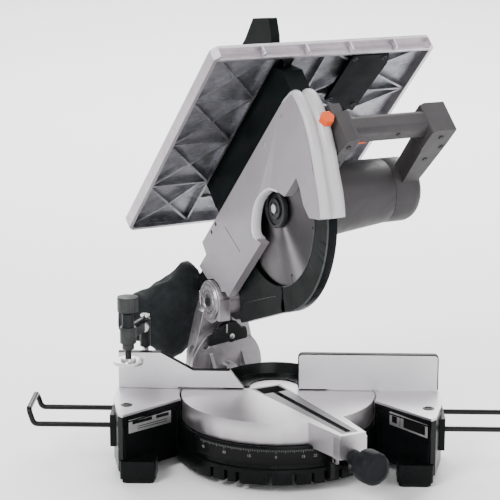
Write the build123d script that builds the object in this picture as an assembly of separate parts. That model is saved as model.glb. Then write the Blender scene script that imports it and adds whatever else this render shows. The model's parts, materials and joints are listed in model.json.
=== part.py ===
from build123d import *
import math
import os

# Combination mitre saw with an upper saw table, millimetres, +Z up.
# Origin: on the bench, under the turntable's axis. -Y is the front, +X the operator's right.
# Everything on the turntable is drawn at mitre 0 with the arm along -Y, then turned by MITRE.
# Everything on the saw head is drawn with the head down and level, in head coordinates:
# p forward from the chop pivot, q up from it, n to the right of the blade's plane.

os.makedirs("parts", exist_ok=True)

MITRE = 30.0            # angle of the turntable at rest
RAISE = 45.0            # angle of the head above its lowered position at rest
TABLE_Z = 110.0         # height of the lower table
DISC_R = 155.0
DISC_DEPTH = 35.0
SKIRT_R = 160.0
RIM_R = 165.0
RIM_NOTCHES = (-37, -28, -21, -3, 10, 20, 28, 37)
WING_X = 260.0          # outer face of each wing
WING_BACK = 45.0
PLATE_T = 4.0
FOOT_X = 215.0          # bench bolts, a rectangle centred on the turntable's axis
FOOT_Y = 104.0
BOLT_HOLE_R = 4.5
FOOT_H = 7.0            # thickness of the rubber under each foot
WING_LOW = 16.0         # underside of the wings
FENCE_Y = 19.0          # face of the fence, behind the turntable's axis
FENCE_T = 10.0
FENCE_GAP = 2.0         # between the turntable's face and the fence
FENCE_TOP = 170.7
FENCE_LOW = 141.3
ARM_END = 232.0
KNOB_Z = 74.0
DETENT_Z = 60.0
PIVOT_Y = 175.0         # chop pivot, behind the turntable's axis and above the bench
PIVOT_Z = 226.0
PIN_R = 9.0
RUN = 0.05              # radial running clearance
EAR_R = 36.0
EAR_IN = 13.5           # inner faces of the fork's ears
BEVEL_R = 66.0
BEVEL_SLOT_R = 56.0
HUB_P = 257.0           # blade axis in head coordinates
HUB_Q = 8.0
BLADE_R = 152.5
BLADE_T = 2.4
BORE_R = 15.0
ARBOR_R = 8.0
GUARD_R = 164.0
GUARD_N = 8.0
OPEN_R = 122.0
LEFT = -27.0            # outer left and right faces of the arm casting
RIGHT = 18.0
CAVITY_LEFT = -22.0
CAVITY_RIGHT = 13.8
MODULE = 1.5
GEAR_TEETH = 38
PINION_TEETH = 9
SHAFT_R = 5.0
GEAR_GAP = MODULE * (GEAR_TEETH + PINION_TEETH) / 2
MOTOR_TILT = -13.0      # direction from the blade axis to the motor axis
MOTOR_P = HUB_P + GEAR_GAP * math.cos(math.radians(MOTOR_TILT))
MOTOR_Q = HUB_Q + GEAR_GAP * math.sin(math.radians(MOTOR_TILT))
MOTOR_R = 51.5
MOTOR_ROOT_R = 59.5     # the housing is wider where it meets the gear case
MOTOR_ROOT_DROP = 7.0
MOTOR_START = 42.0
MOTOR_SEAM = 165.0
MOTOR_END = 221.0
TOP_BACK = 15.0         # upper table's extent in head coordinates
TOP_FRONT = 473.0
TOP_LEFT = -140.0
TOP_RIGHT = 250.0
TOP_Q = 166.0
TOP_RIM = 20.0
TOP_T = 7.0
RIM_RIBS = (-132, -56, 20, 98, 178, 243)
POST_R = 10.0
POST_N = 38.0
POST_BACK = 65.0
POST_FRONT = 370.0
ROD_R = 4.25
ROD_Z = 72.0
ROD_Y = (32.0, -56.0)
CLAMP_POST = (-216.0, 38.0)
CLAMP_SCREW = (-237.0, -30.0)


def turned(part):
    """Turn a piece of the turntable from mitre 0 to its rest angle."""
    return Rot(0, 0, MITRE) * part


def lifted(part):
    """Swing a piece of the head about the chop pivot to its rest angle."""
    return Pos(0, PIVOT_Y, PIVOT_Z) * Rot(-RAISE, 0, 0) * Pos(0, -PIVOT_Y, -PIVOT_Z) * part


def raised(part):
    """Lift a piece of the head to its rest angle, then turn it with the turntable."""
    return turned(lifted(part))


def slab(sketch, low, high):
    """A head outline, drawn as (p, q), given thickness between two values of n."""
    side = Plane(origin=(high, PIVOT_Y, PIVOT_Z), x_dir=(0, -1, 0), z_dir=(-1, 0, 0))
    return extrude(side * sketch, amount=high - low)


def rod(p, q, radius, low, high):
    """A round bar across the head, parallel to the blade's axis."""
    return slab(Pos(p, q) * Circle(radius), low, high)


def outline(*points):
    return make_face(Polyline(*points, close=True))


def block(x0, x1, y0, y1, z0, z1):
    return Pos((x0 + x1) / 2, (y0 + y1) / 2, (z0 + z1) / 2) * Box(abs(x1 - x0), abs(y1 - y0), abs(z1 - z0))


def head_block(p0, p1, q0, q1, n0, n1):
    return block(n0, n1, PIVOT_Y - p1, PIVOT_Y - p0, PIVOT_Z + q0, PIVOT_Z + q1)


def post(x, y, radius, low, high):
    return Pos(x, y, (low + high) / 2) * Cylinder(radius, high - low)


def bar(radius, start, end, x=0.0, z=0.0):
    """A round bar along Y, from start forward to end (start is the greater Y)."""
    return Pos(x, (start + end) / 2, z) * Rot(90, 0, 0) * Cylinder(radius, abs(start - end))


def polar(centre_p, centre_q, radius, degrees):
    a = math.radians(degrees)
    return (centre_p + radius * math.cos(a), centre_q + radius * math.sin(a))


def sector(r_in, r_out, start, end):
    """A ring sector about the blade's axis, from start to end degrees."""
    mid = (start + end) / 2
    arc_out = ThreePointArc(*[polar(HUB_P, HUB_Q, r_out, a) for a in (start, mid, end)])
    arc_in = ThreePointArc(*[polar(HUB_P, HUB_Q, r_in, a) for a in (end, mid, start)])
    side_a = Line(arc_out @ 1, arc_in @ 0)
    side_b = Line(arc_in @ 1, arc_out @ 0)
    return make_face([arc_out, side_a, arc_in, side_b])


def both_sides(part):
    return part + mirror(part, about=Plane.YZ)


def save(name, part):
    export_step(part, f"parts/{name}.step")


# ---------------------------------------------------------------- base

def wing_plan(inset=0.0):
    """The left wing seen from above, outside the turntable's disc."""
    plan = outline((-150 - inset, WING_BACK - inset), (-150 - inset, -34 + inset), (-155, -34 + inset),
                   (-238 + inset, -124.5 + inset * 2.3), (-246 + inset, -116 + inset * 1.7),
                   (-WING_X + inset, -45), (-WING_X + inset, WING_BACK - inset))
    return plan - Circle(DISC_R + 3 + inset)


def rod_bores():
    return [Pos(-WING_X + 24, y, ROD_Z) * Rot(0, 90, 0) * Cylinder(ROD_R + RUN, 100) for y in ROD_Y]


def feet_points():
    return [(sx * FOOT_X, sy * FOOT_Y) for sx in (-1, 1) for sy in (-1, 1)]


def foot_block(x, y):
    return extrude(Pos(x, y, FOOT_H) * RectangleRounded(56, 50, 6), amount=29)


def base_casting():
    rim = post(0, 0, RIM_R, 14, 38)
    for degrees in RIM_NOTCHES:
        rim -= Rot(0, 0, degrees) * block(-3, 3, -RIM_R - 5, -RIM_R + 20, 12, 31)
    ring = rim + post(0, 0, SKIRT_R, 38, TABLE_Z - DISC_DEPTH - 1)
    ring -= post(0, 0, SKIRT_R - 9, 13, TABLE_Z - DISC_DEPTH - 9)
    ring += post(0, 0, 22, 30, TABLE_Z - DISC_DEPTH - 1)
    ring -= post(0, 0, 8.1, 13, TABLE_Z)
    low = WING_LOW
    wing = extrude(Pos(0, 0, low) * wing_plan(), amount=TABLE_Z - PLATE_T - low)
    wing -= extrude(Pos(0, 0, low - 1) * wing_plan(9), amount=TABLE_Z - PLATE_T - low - 9)
    wing += block(-WING_X + 4, -WING_X + 34, ROD_Y[1] - 11, ROD_Y[0] + 10, ROD_Z - 11, ROD_Z + 11)
    wing += block(-WING_X - 4, -WING_X + 6, -68, 42, 40, 92)
    for bore in rod_bores():
        wing -= bore
    wing += post(*CLAMP_POST, 11, 84, TABLE_Z - PLATE_T)
    wing -= post(*CLAMP_POST, 5.55, 90, TABLE_Z)
    wing -= post(0, 0, SKIRT_R - 9, 13, TABLE_Z - DISC_DEPTH - 9)
    foot = foot_block(-FOOT_X, -FOOT_Y)
    rear = foot_block(-FOOT_X, FOOT_Y)
    side_leg = outline((-190, 20), (-225, 20), (-238, FOOT_Y), (-195, FOOT_Y))
    back_leg = outline((-110, 105), (-128, 88), (-206, 92), (-206, 116))
    rear += extrude(Pos(0, 0, low) * side_leg, amount=18) + extrude(Pos(0, 0, low) * back_leg, amount=18)
    casting = ring + both_sides(wing + foot + rear)
    for x, y in feet_points():
        casting -= post(x, y, BOLT_HOLE_R, FOOT_H - 1, 40)
    for x, y in fence_bolt_points():
        casting -= post(x, y, 4.1, 80, TABLE_Z)
    return casting


def wing_plate():
    plate = extrude(Pos(0, 0, TABLE_Z - PLATE_T) * wing_plan(), amount=PLATE_T)
    for x, y in fence_bolt_points():
        plate -= post(x, y, 4.1, TABLE_Z - PLATE_T - 1, TABLE_Z + 1)
    return plate - post(*CLAMP_POST, 5.55, 90, TABLE_Z + 1)


def fence_bolt_points():
    return [(sx * x, 37) for sx in (-1, 1) for x in (180, 245)]


def fence_bolts():
    return [post(x, y, 6.5, TABLE_Z + 7, TABLE_Z + 12) + post(x, y, 4.0, 86, TABLE_Z + 7)
            for x, y in fence_bolt_points()]


def fence(face):
    """An upright fence plate with a bolted foot flange on its wing. face is drawn as (x, z)."""
    return extrude(Plane(origin=(0, FENCE_Y, 0), x_dir=(1, 0, 0), z_dir=(0, -1, 0)) * face, amount=-FENCE_T)


def fence_foot(side):
    inner, outer = sorted((side * 162, side * 258))
    foot = block(inner, outer, FENCE_Y, WING_BACK, TABLE_Z, TABLE_Z + 7)
    for x, y in fence_bolt_points():
        foot -= post(x, y, 4.1, TABLE_Z - 1, TABLE_Z + 8)
    return foot - post(*CLAMP_POST, 5.55, TABLE_Z - 1, TABLE_Z + 8)


def left_fence():
    low = TABLE_Z + FENCE_GAP
    face = outline((-258, low), (-258, FENCE_TOP), (-190, FENCE_TOP), (-137, FENCE_LOW),
                   (-78, FENCE_LOW), (-55, low))
    return fence(face) + fence_foot(-1)


def right_fence():
    low = TABLE_Z + FENCE_GAP
    face = outline((32, low), (258, low), (258, FENCE_TOP), (32, FENCE_TOP))
    top = face.vertices().sort_by(Axis.Y)[-2:]
    return fence(fillet(top, 7)) + fence_foot(1)


def fence_bridge():
    """Dark curved wall and tray behind the blade that join the two fence plates."""
    back = FENCE_Y + FENCE_T + 0.02
    low = TABLE_Z + 0.5
    ring = Pos(-5, 22) * (Circle(84) - Circle(81))
    tray = Pos(-5, 22) * Circle(82) - Pos(-6, 34) * Circle(40)
    bridge = extrude(Pos(0, 0, low) * ring, amount=21) + extrude(Pos(0, 0, low) * tray, amount=2)
    bridge &= block(-100, 100, back, 120, TABLE_Z, TABLE_Z + 40)
    for x in (-84, 74):
        bridge += block(x - 9, x + 9, back, back + 4, low + 2, low + 17)
    return bridge


def mitre_scale():
    strip = post(0, 0, SKIRT_R + 0.8, 45, 70) - post(0, 0, SKIRT_R, 44, 71)
    front = extrude(Pos(0, 0, 44) * outline((0, 0), (-230, -190), (0, -300), (230, -190)), amount=28)
    return strip & front


def rubber_foot(x, y):
    sole = extrude(Pos(x, y, 0) * RectangleRounded(50, 44, 9), amount=FOOT_H)
    return sole - post(x, y, BOLT_HOLE_R, -1, FOOT_H + 1)


def turntable_bolt():
    return post(0, 0, 8, 28, 88) + post(0, 0, 13, 24, 29.9)


def support_rod():
    """A U of round bar whose closed end is bent up as a stop."""
    inner, outer, lift = -WING_X + 24, -386.0, 24.0
    back, front = ROD_Y
    top = ROD_Z + lift
    path = FilletPolyline((inner, back, ROD_Z), (outer, back, ROD_Z), (outer - 8, back, top),
                          (outer - 8, front, top), (outer, front, ROD_Z), (inner, front, ROD_Z),
                          radius=9)
    return sweep(Plane(origin=path @ 0, z_dir=path % 0) * Circle(ROD_R), path=path)


# ---------------------------------------------------------------- hold-down clamp

def clamp_post():
    return post(*CLAMP_POST, 5.5, 90.5, 226) + post(*CLAMP_POST, 7.5, 226, 229)


def clamp_arm():
    (px, py), (sx, sy) = CLAMP_POST, CLAMP_SCREW
    arm = post(px, py, 8.8, 176, 222)
    arm += post(sx, sy, 13, 200, 226) + post(sx, sy, 9.5, 225, 248)
    bridge = outline((px - 8, py), (px + 8, py), (sx + 8, sy), (sx - 10, sy))
    arm += extrude(Pos(0, 0, 206) * bridge, amount=14)
    web = outline((px - 3, py), (px + 3, py), (sx + 3, sy), (sx - 3, sy))
    arm += extrude(Pos(0, 0, 204) * web, amount=22)
    arm -= post(px, py, 5.55, 170, 240)
    arm -= post(px, py, 8.0, 222, 240)
    arm -= post(sx, sy, 10.5, 180, 205)
    arm -= post(sx, sy, 5.05, 190, 270)
    return arm


def clamp_screw():
    x, y = CLAMP_SCREW
    screw = post(x, y, 5, 176, 274) + post(x, y, 9.5, 190, 204)
    knob = post(x, y, 16.5, 251.5, 275) - post(x, y, 10.5, 250, 272)
    return screw + knob


def clamp_foot():
    x, y = CLAMP_SCREW
    return post(x, y, 24, 166, 171) + post(x, y, 12, 171, 175.8)


# ---------------------------------------------------------------- turntable

def arm_plan(half_root, half_end, end):
    return outline((-half_root, -120), (half_root, -120), (half_end, -end), (-half_end, -end))


def insert_plan(gap=0.0):
    return outline((-27 - gap, 42 + gap), (27 + gap, 42 + gap), (20 + gap, -62), (14 + gap, -224 - gap),
                   (-14 - gap, -224 - gap), (-20 - gap, -62))


def turntable():
    low = TABLE_Z - DISC_DEPTH
    disc = post(0, 0, DISC_R, low, TABLE_Z) - post(0, 0, DISC_R - 8, low - 1, TABLE_Z - 12)
    arm = extrude(Pos(0, 0, low - 3) * arm_plan(34, 22, ARM_END), amount=DISC_DEPTH + 3)
    arm -= post(0, 0, RIM_R + 1, low - 4, low)
    arm -= extrude(Pos(0, 0, low - 4) * arm_plan(27, 16, ARM_END - 8), amount=DISC_DEPTH - 9)
    body = disc + arm + post(0, 0, 26, low, TABLE_Z)
    body += block(-24, 24, -ARM_END, 12, low, TABLE_Z - 5)
    body -= block(-11, 11, -222, -22, low + 3, TABLE_Z + 1)
    body -= block(-11, 11, -23, 8, low + 17, TABLE_Z + 1)
    body -= extrude(Pos(0, 0, TABLE_Z - 4) * insert_plan(0.1), amount=5)
    body += block(-26, 26, -5, 42, TABLE_Z - 22, TABLE_Z - 5)
    body -= block(-11, 11, -5, 10, TABLE_Z - 18, TABLE_Z + 1)
    body -= block(-22, 22, 6, 38, TABLE_Z - 18, TABLE_Z + 1)
    body -= post(0, 0, 8 + RUN, low - 1, TABLE_Z - 11)
    body -= bar(6.05, -200, -ARM_END - 30, 0, KNOB_Z)
    for side in (-1, 1):
        body += block(side * 8.6, side * 13, -206, -194, 56, low)
    return body - Pos(0, -200, DETENT_Z) * Rot(0, 90, 0) * Cylinder(3, 40)


def kerf_insert():
    plate = extrude(Pos(0, 0, TABLE_Z - 4) * insert_plan(), amount=4)
    plate -= block(-5, 5, -218, 9, TABLE_Z - 5, TABLE_Z + 1)
    return plate - block(-21, 21, 7, 37, TABLE_Z - 5, TABLE_Z + 1)


def bevel_half_disc(radius):
    return Circle(radius) - Pos(0, -radius - 8) * Rectangle(3 * radius, 2 * radius)


def upright(sketch, front, back):
    """An outline drawn as (x, height above the table), given depth from front to back in Y."""
    face = Plane(origin=(0, front, TABLE_Z), x_dir=(1, 0, 0), z_dir=(0, -1, 0))
    return extrude(face * sketch, amount=front - back)


def arc_slot(radius, width, start, end):
    arc = ThreePointArc(*[(radius * math.cos(math.radians(a)), radius * math.sin(math.radians(a)))
                          for a in (start, (start + end) / 2, end)])
    return trace(arc, line_width=width) + [Pos(*(arc @ t)) * Circle(width / 2) for t in (0, 1)]


def bevel_support():
    """Upright half disc behind the turntable that the bevel group is clamped to."""
    disc = upright(bevel_half_disc(BEVEL_R), 176, 186)
    disc -= upright(arc_slot(BEVEL_SLOT_R, 10.8, 89, 136), 175, 187)
    foot = block(-46, 46, DISC_R + 0.2, 178, TABLE_Z - 34, TABLE_Z - 2)
    foot += block(-46, 46, 168, 186, TABLE_Z - 58, TABLE_Z - 2)
    foot += outline_rib(-30) + outline_rib(30)
    return disc + foot - bar(10.0, 210, 150, 0, TABLE_Z)


def outline_rib(x):
    """A triangular web that braces the half disc on its front."""
    side = Plane(origin=(x + 3, 0, TABLE_Z), x_dir=(0, 1, 0), z_dir=(1, 0, 0))
    return extrude(side * outline((156, -3), (177, -3), (177, 26)), amount=-6)


def mitre_knob():
    knob = bar(25.5, -273, -299, 0, KNOB_Z) + bar(12.5, -ARM_END - 1, -274, 0, KNOB_Z)
    return knob + bar(6.0, -206, -ARM_END - 2, 0, KNOB_Z)


def mitre_pointer():
    foot = block(-2.5, 2.5, -RIM_R + 1.2, -RIM_R - 5, 71, 72)
    return foot + block(-2.5, 2.5, -RIM_R - 5, -RIM_R - 3.8, 59, 72)


def detent_lever():
    lever = block(-8, 8, -236, -168, 51, 56)
    lever += block(-4, 4, -174, -166.2, 20, 53)
    lever += Pos(0, -200, DETENT_Z) * Rot(0, 90, 0) * Cylinder(5, 16.4)
    return lever + Pos(0, -200, DETENT_Z) * Rot(0, 90, 0) * Cylinder(2.95, 25.8)


# ---------------------------------------------------------------- bevel group

def bevel_column():
    profile = outline((-58, -12), (-58, 22), (-40, 96), (-34, 110), (34, 110), (40, 96), (58, 22), (58, -12))
    column = upright(profile + Circle(BEVEL_R) - Pos(0, 200) * Rectangle(300, 170), 186.4, 202)
    column += upright(profile, 187, 215)
    return column


def pivot_bracket():
    toe = outline((0, -27), (EAR_R, -27), (EAR_R, 10), (0, 10))
    heel = outline((-40, 10), (-40, -100), (-12.5, -100), (-12.5, -30), (0, 0))
    ear = slab(Circle(EAR_R) + toe + heel, -34, 34)
    bracket = bevel_column() + ear
    bracket -= head_block(-60, 60, -25, 60, -EAR_IN, EAR_IN) + head_block(-28, 60, -76, -24, -EAR_IN, EAR_IN)
    bracket -= rod(0, 0, PIN_R + 0.02, -50, 50)
    bracket -= bar(10 + RUN, 230, 150, 0, TABLE_Z)
    return bracket - bar(5.05, 230, 150, 0, TABLE_Z + BEVEL_SLOT_R)


def bevel_pin():
    return bar(10, 215, 158, 0, TABLE_Z) + bar(16, 220, 215.1, 0, TABLE_Z)


def bevel_lever():
    z = TABLE_Z + BEVEL_SLOT_R
    lever = bar(13, 175.6, 158, 0, z)
    for tilt, reach in ((-92, 38), (0, 22), (76, 36)):
        lever += Pos(0, 165, z) * Rot(0, tilt, 0) * Pos(0, 0, reach / 2) * Box(12, 12, reach)
    return lever + bar(5, 208, 174, 0, z)


def chop_pin():
    pin = rod(0, 0, PIN_R, -36, 56)
    return pin + rod(0, 0, 14, -36, -34.05) + rod(0, 0, 13, 53, 57)


def return_spring():
    coil = Helix(pitch=4.0, height=14.0, radius=13.0)
    wire = sweep(Plane(origin=coil @ 0, z_dir=coil % 0) * Circle(1.4), path=coil)
    return Pos(36, PIVOT_Y, PIVOT_Z) * Rot(0, 90, 0) * wire


# ---------------------------------------------------------------- saw head

def nose_edge(extra=0.0):
    """Outer edge of the head from its top front corner down to its lower front tip."""
    reach = 170.5 + extra
    top = (451 + extra, 84)
    arc = ThreePointArc(*[polar(HUB_P, HUB_Q, reach, a) for a in (-14, -27, -40)])
    path = Polyline((413, 94), (446, 87), top, (453 + extra, 60), (451 + extra, 36),
                    (436 + extra, -12), arc @ 0)
    return path, arc


def arm_side():
    """The arm's left outline, with the cut-out that shows the blade's hub."""
    path, arc = nose_edge()
    hub_cut = ((364, -82), (363, -57), (372, -33), (374, -15), (335, -15), (324, -14), (311, 5), (296, 21),
               (281, 29), (255, 34), (234, 32), (212, 20), (193, 3), (210, -24))
    root = ((64, -24), (58, -18), (30, 0), (9, 39), (-1, 71), (35, 71), (37, 94))
    lower = Polyline(arc @ 1, *hub_cut, *root, (413, 94))
    return make_face([*path.edges(), *arc.edges(), *lower.edges()]) - Circle(EAR_R + 2.5)


def full_side():
    """The arm's right outline, which carries on across the hub."""
    web = Polygon((185, -24), (330, -60), (376, -70), (385, -20), (300, 40), (185, 40), align=None)
    return arm_side() + web


def arm_lug(p, n_out):
    lug = head_block(p - 19, p + 19, 24, 78, RIGHT - 2, n_out)
    return lug - Pos(POST_N, PIVOT_Y - p, PIVOT_Z + 50) * Cylinder(POST_R + RUN, 120)


def arm_casting():
    left = slab(arm_side(), LEFT, CAVITY_LEFT)
    low = arm_side() & Pos(200, -60) * Rectangle(700, 196)
    left += slab(low, CAVITY_LEFT - 1, -11.5)
    right = slab(full_side(), CAVITY_RIGHT, RIGHT)
    right -= rod(HUB_P, HUB_Q, 33.0, 0, 30)
    nose = slab(sector(166.5, 170.5, -40, -13), CAVITY_LEFT - 1, CAVITY_RIGHT + 1)
    front = outline((420, -12), (436, -12), (451, 36), (453, 60), (451, 84), (446, 87), (446, 60), (446, 34))
    nose += slab(front - Pos(HUB_P, HUB_Q) * Circle(166.5), CAVITY_LEFT - 1, CAVITY_RIGHT + 1)
    rear = outline((44, -20), (104, -20), (104, 90), (40, 90), (38, 71), (2, 71), (10, 44), (38, 8))
    body = left + right + nose + slab(rear - Circle(EAR_R + 2.5), CAVITY_LEFT - 1, CAVITY_RIGHT + 1)
    body += rod(0, 0, 23, -12.5, 12.5) + head_block(8, 60, -14, 14, -12.5, 12.5)
    body -= rod(0, 0, PIN_R + RUN, -60, 60)
    body -= head_block(20, 120, -30, 6, -9.4, 9.4) - rod(0, 0, 30, -20, 20)
    body -= head_block(84, 110, 0, 100, -1.35, 1.35)
    body -= head_block(-10, 36, 46, 68, -18, 10)
    body += arm_lug(POST_BACK, 54) + arm_lug(POST_FRONT, 54)
    body -= Pos(POST_N, PIVOT_Y - POST_BACK, PIVOT_Z + 50) * Cylinder(POST_R + RUN, 120)
    body -= Pos(POST_N, PIVOT_Y - POST_FRONT, PIVOT_Z + 50) * Cylinder(POST_R + RUN, 120)
    body -= button_shape(0.4)
    return body


def nose_cover():
    """Two bulged ridges that wrap the front of the arm."""
    def band(extra, low, high):
        path, arc = nose_edge(extra)
        inner_path, inner_arc = nose_edge()
        closing = [Line(arc @ 1, (300, -20)), Line((300, -20), (413, 94))]
        outer = make_face([*path.edges(), *arc.edges(), *closing])
        inner = make_face([*inner_path.edges(), *inner_arc.edges(), Line(inner_arc @ 1, (300, -20)),
                           Line((300, -20), (413, 94))])
        return slab(outer - inner, low, high)
    cover = band(5.5, -25, -8) + band(2.5, -9, -3) + band(6.5, -4, RIGHT - 1)
    return cover - button_shape(0.4)


def button_shape(gap):
    """The hexagonal lock-off button in the front of the nose, pressed along p."""
    hexagon = RegularPolygon(11.5 + gap, 6)
    face = Plane(origin=(7, PIVOT_Y - 467, PIVOT_Z + 28), x_dir=(1, 0, 0), z_dir=(0, 1, 0))
    return extrude(face * hexagon, amount=13 + 12 * gap)


def rear_guard():
    """Fixed black shell that covers the blade below and behind the arm."""
    side = outline((30, -13), (30, -64), (162, -126), (164, -117), (191, -98), (143, -18), (150, 4),
                   (109, 4), (109, -13))
    side = side - Pos(HUB_P, HUB_Q) * Circle(OPEN_R) - Circle(62)
    hollow = outline((20, 6), (20, -48), (158, -122.5), (230, -122.5), (230, 6))
    return slab(side, -9, 9) - slab(hollow, -7, 7) - slab(sector(90, 200, 236.6, 300), -12, 12)


def gear_case():
    shell = slab(Pos(HUB_P, HUB_Q) * Circle(46) + Pos(MOTOR_P, MOTOR_Q) * Circle(46), RIGHT, MOTOR_START)
    shell += rod(HUB_P, HUB_Q, 32.9, 5, RIGHT + 1)
    shell -= slab(Pos(HUB_P, HUB_Q) * Circle(33) + Pos(MOTOR_P, MOTOR_Q) * Circle(14), 22, MOTOR_START + 1)
    shell -= rod(HUB_P, HUB_Q, 16, 8, 23)
    return shell - rod(HUB_P, HUB_Q, 10, 4, 23)


def motor_axis(radius, low, high):
    return rod(MOTOR_P, MOTOR_Q, radius, low, high)


def motor_shape(grow=0.0):
    """The housing's tapered outside, from the gear case to the seam."""
    root_z = PIVOT_Z + MOTOR_Q - MOTOR_ROOT_DROP
    root = Plane(origin=(MOTOR_START, PIVOT_Y - MOTOR_P, root_z), z_dir=(1, 0, 0))
    seam = Plane(origin=(MOTOR_SEAM, PIVOT_Y - MOTOR_P, PIVOT_Z + MOTOR_Q), z_dir=(1, 0, 0))
    return loft([root * Circle(MOTOR_ROOT_R + grow), seam * Circle(MOTOR_R + grow)])


def motor_housing():
    body = motor_shape()
    body -= motor_axis(MOTOR_R - 4, MOTOR_START + 16, MOTOR_SEAM + 1)
    body -= motor_axis(13, MOTOR_START + 4, MOTOR_START + 17)
    body -= motor_axis(6.5, MOTOR_START - 1, MOTOR_START + 5)
    body -= rod(HUB_P, HUB_Q, 11, MOTOR_START - 1, MOTOR_START + 9)
    return body


def motor_end_cap():
    cap = motor_axis(MOTOR_R, MOTOR_SEAM + 0.6, MOTOR_END)
    rim = cap.edges().filter_by(GeomType.CIRCLE).sort_by(Axis.X)[-1]
    cap = fillet(rim, 22)
    cap -= motor_axis(MOTOR_R - 4, MOTOR_SEAM, MOTOR_END - 36)
    return cap - motor_axis(9, MOTOR_SEAM, MOTOR_END - 28)


def stator():
    ring = motor_axis(MOTOR_R - 4.1, 84, 140) - motor_axis(30, 83, 141)
    for k in range(8):
        slot = Pos(*polar(MOTOR_P, MOTOR_Q, 33, k * 45)) * Circle(4)
        ring -= slab(slot, 83, 141)
    return ring


def rotor():
    shaft = motor_axis(SHAFT_R, 37, MOTOR_END - 30)
    core = motor_axis(29, 84, 140) + motor_axis(16, 146, 164)
    fan = motor_axis(12, 62, 70) + motor_axis(42, 62, 64)
    for k in range(12):
        fan += fan_blade(k * 30)
    turn = MOTOR_TILT + 180 + 180 / PINION_TEETH
    pinion = Pos(MOTOR_P, MOTOR_Q) * Rot(0, 0, turn) * gear_outline(PINION_TEETH, 0.12)
    return shaft + core + fan + slab(pinion, 25, 37.5)


def fan_blade(angle):
    blade = Pos(MOTOR_P, MOTOR_Q) * Rot(0, 0, angle) * Pos(27, 0) * Rectangle(28, 2)
    return slab(blade, 63, 76)


def ring_on(p, q, r_in, r_out, low, high):
    return rod(p, q, r_out, low, high) - rod(p, q, r_in, low - 1, high + 1)


def gear_outline(teeth, thin):
    """A spur gear of MODULE with involute flanks, each tooth thinned by a backlash angle."""
    pitch, base = MODULE * teeth / 2, MODULE * teeth / 2 * math.cos(math.radians(20))
    tip, root = pitch + MODULE * 0.85, pitch - MODULE * 1.2
    at_pitch = math.sqrt((pitch / base) ** 2 - 1)
    half = math.pi / (2 * teeth) - thin / pitch + at_pitch - math.atan(at_pitch)
    points = []
    for tooth in range(teeth):
        middle = 2 * math.pi * tooth / teeth
        flank = []
        for step in range(4):
            radius = max(base, root) + (tip - max(base, root)) * step / 3
            roll = math.sqrt(max((radius / base) ** 2 - 1, 0))
            flank.append((radius, half - roll + math.atan(roll)))
        side = [(root, flank[0][1])] + flank if root < base else flank
        for radius, turn in side:
            points.append((radius * math.cos(middle - turn), radius * math.sin(middle - turn)))
        for radius, turn in reversed(side):
            points.append((radius * math.cos(middle + turn), radius * math.sin(middle + turn)))
    return outline(*points)


def driven_gear():
    wheel = Pos(HUB_P, HUB_Q) * Rot(0, 0, MOTOR_TILT) * gear_outline(GEAR_TEETH, 0.12)
    return slab(wheel, 26, 36) - rod(HUB_P, HUB_Q, ARBOR_R, 20, 40)


def saw_blade():
    teeth = 48
    points = []
    for k in range(teeth):
        points.append(polar(HUB_P, HUB_Q, BLADE_R, k * 360 / teeth))
        points.append(polar(HUB_P, HUB_Q, BLADE_R - 2, (k + 0.45) * 360 / teeth))
        points.append(polar(HUB_P, HUB_Q, BLADE_R - 8, (k + 0.6) * 360 / teeth))
        points.append(polar(HUB_P, HUB_Q, BLADE_R - 7, (k + 0.92) * 360 / teeth))
    disc = slab(outline(*points), -BLADE_T / 2, BLADE_T / 2)
    return disc - rod(HUB_P, HUB_Q, BORE_R, -5, 5)


def arbor():
    return rod(HUB_P, HUB_Q, ARBOR_R, -4.5, 49) - rod(HUB_P, HUB_Q, 4, -6, 16)


def inner_flange():
    flange = rod(HUB_P, HUB_Q, 28, BLADE_T / 2, 4.7)
    flange += rod(HUB_P, HUB_Q, BORE_R - 0.02, -BLADE_T / 2, BLADE_T / 2)
    return flange - rod(HUB_P, HUB_Q, ARBOR_R, -5, 6)


def outer_flange():
    flange = rod(HUB_P, HUB_Q, 31, -7, -BLADE_T / 2) - rod(HUB_P, HUB_Q, 25, -8, -5)
    flange += rod(HUB_P, HUB_Q, 14, -8.5, -4.9)
    flange -= rod(HUB_P, HUB_Q, ARBOR_R, -5, 0)
    return flange - rod(HUB_P, HUB_Q, 4, -9, 0)


def blade_bolt():
    head = slab(Pos(HUB_P, HUB_Q) * RegularPolygon(8, 6), -10.8, -8.5)
    return head + rod(HUB_P, HUB_Q, 3.98, -8.5, 14)


def moving_guard():
    """Guard that swings round the blade's axis: it covers the blade's lower front at rest."""
    start, end = 237.0, 328.0
    lead = outline(*[polar(HUB_P, HUB_Q, r, a) for r, a in ((182, 320), (100, 333), (182, 333))])
    side = sector(OPEN_R, GUARD_R, start, end) - lead
    skin = slab(side, -GUARD_N, -GUARD_N + 2)
    wrap = slab(sector(GUARD_R - 3, GUARD_R, start, end) - lead, -GUARD_N, GUARD_N)
    right = sector(34, GUARD_R, start, end) - lead + Pos(HUB_P, HUB_Q) * Circle(44)
    right -= Pos(HUB_P, HUB_Q) * Circle(33.0)
    return skin + wrap + slab(right, GUARD_N - 2, GUARD_N)


# ---------------------------------------------------------------- handle

def handle_plan():
    """The D-handle seen along q, drawn as (p, n)."""
    return outline((394, 19), (440, 19), (464, 22), (470, 38), (470, 172), (474, 176), (474, 212), (440, 212),
                   (337, 206), (337, 178), (420, 172), (438, 168), (438, 42), (428, 38), (394, 36))


def across(sketch, low, high):
    """An outline drawn as (p, n) given height between two values of q."""
    flat = Plane(origin=(0, PIVOT_Y, PIVOT_Z + low), x_dir=(0, -1, 0), z_dir=(0, 0, 1))
    return extrude(flat * sketch, amount=high - low)


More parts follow.
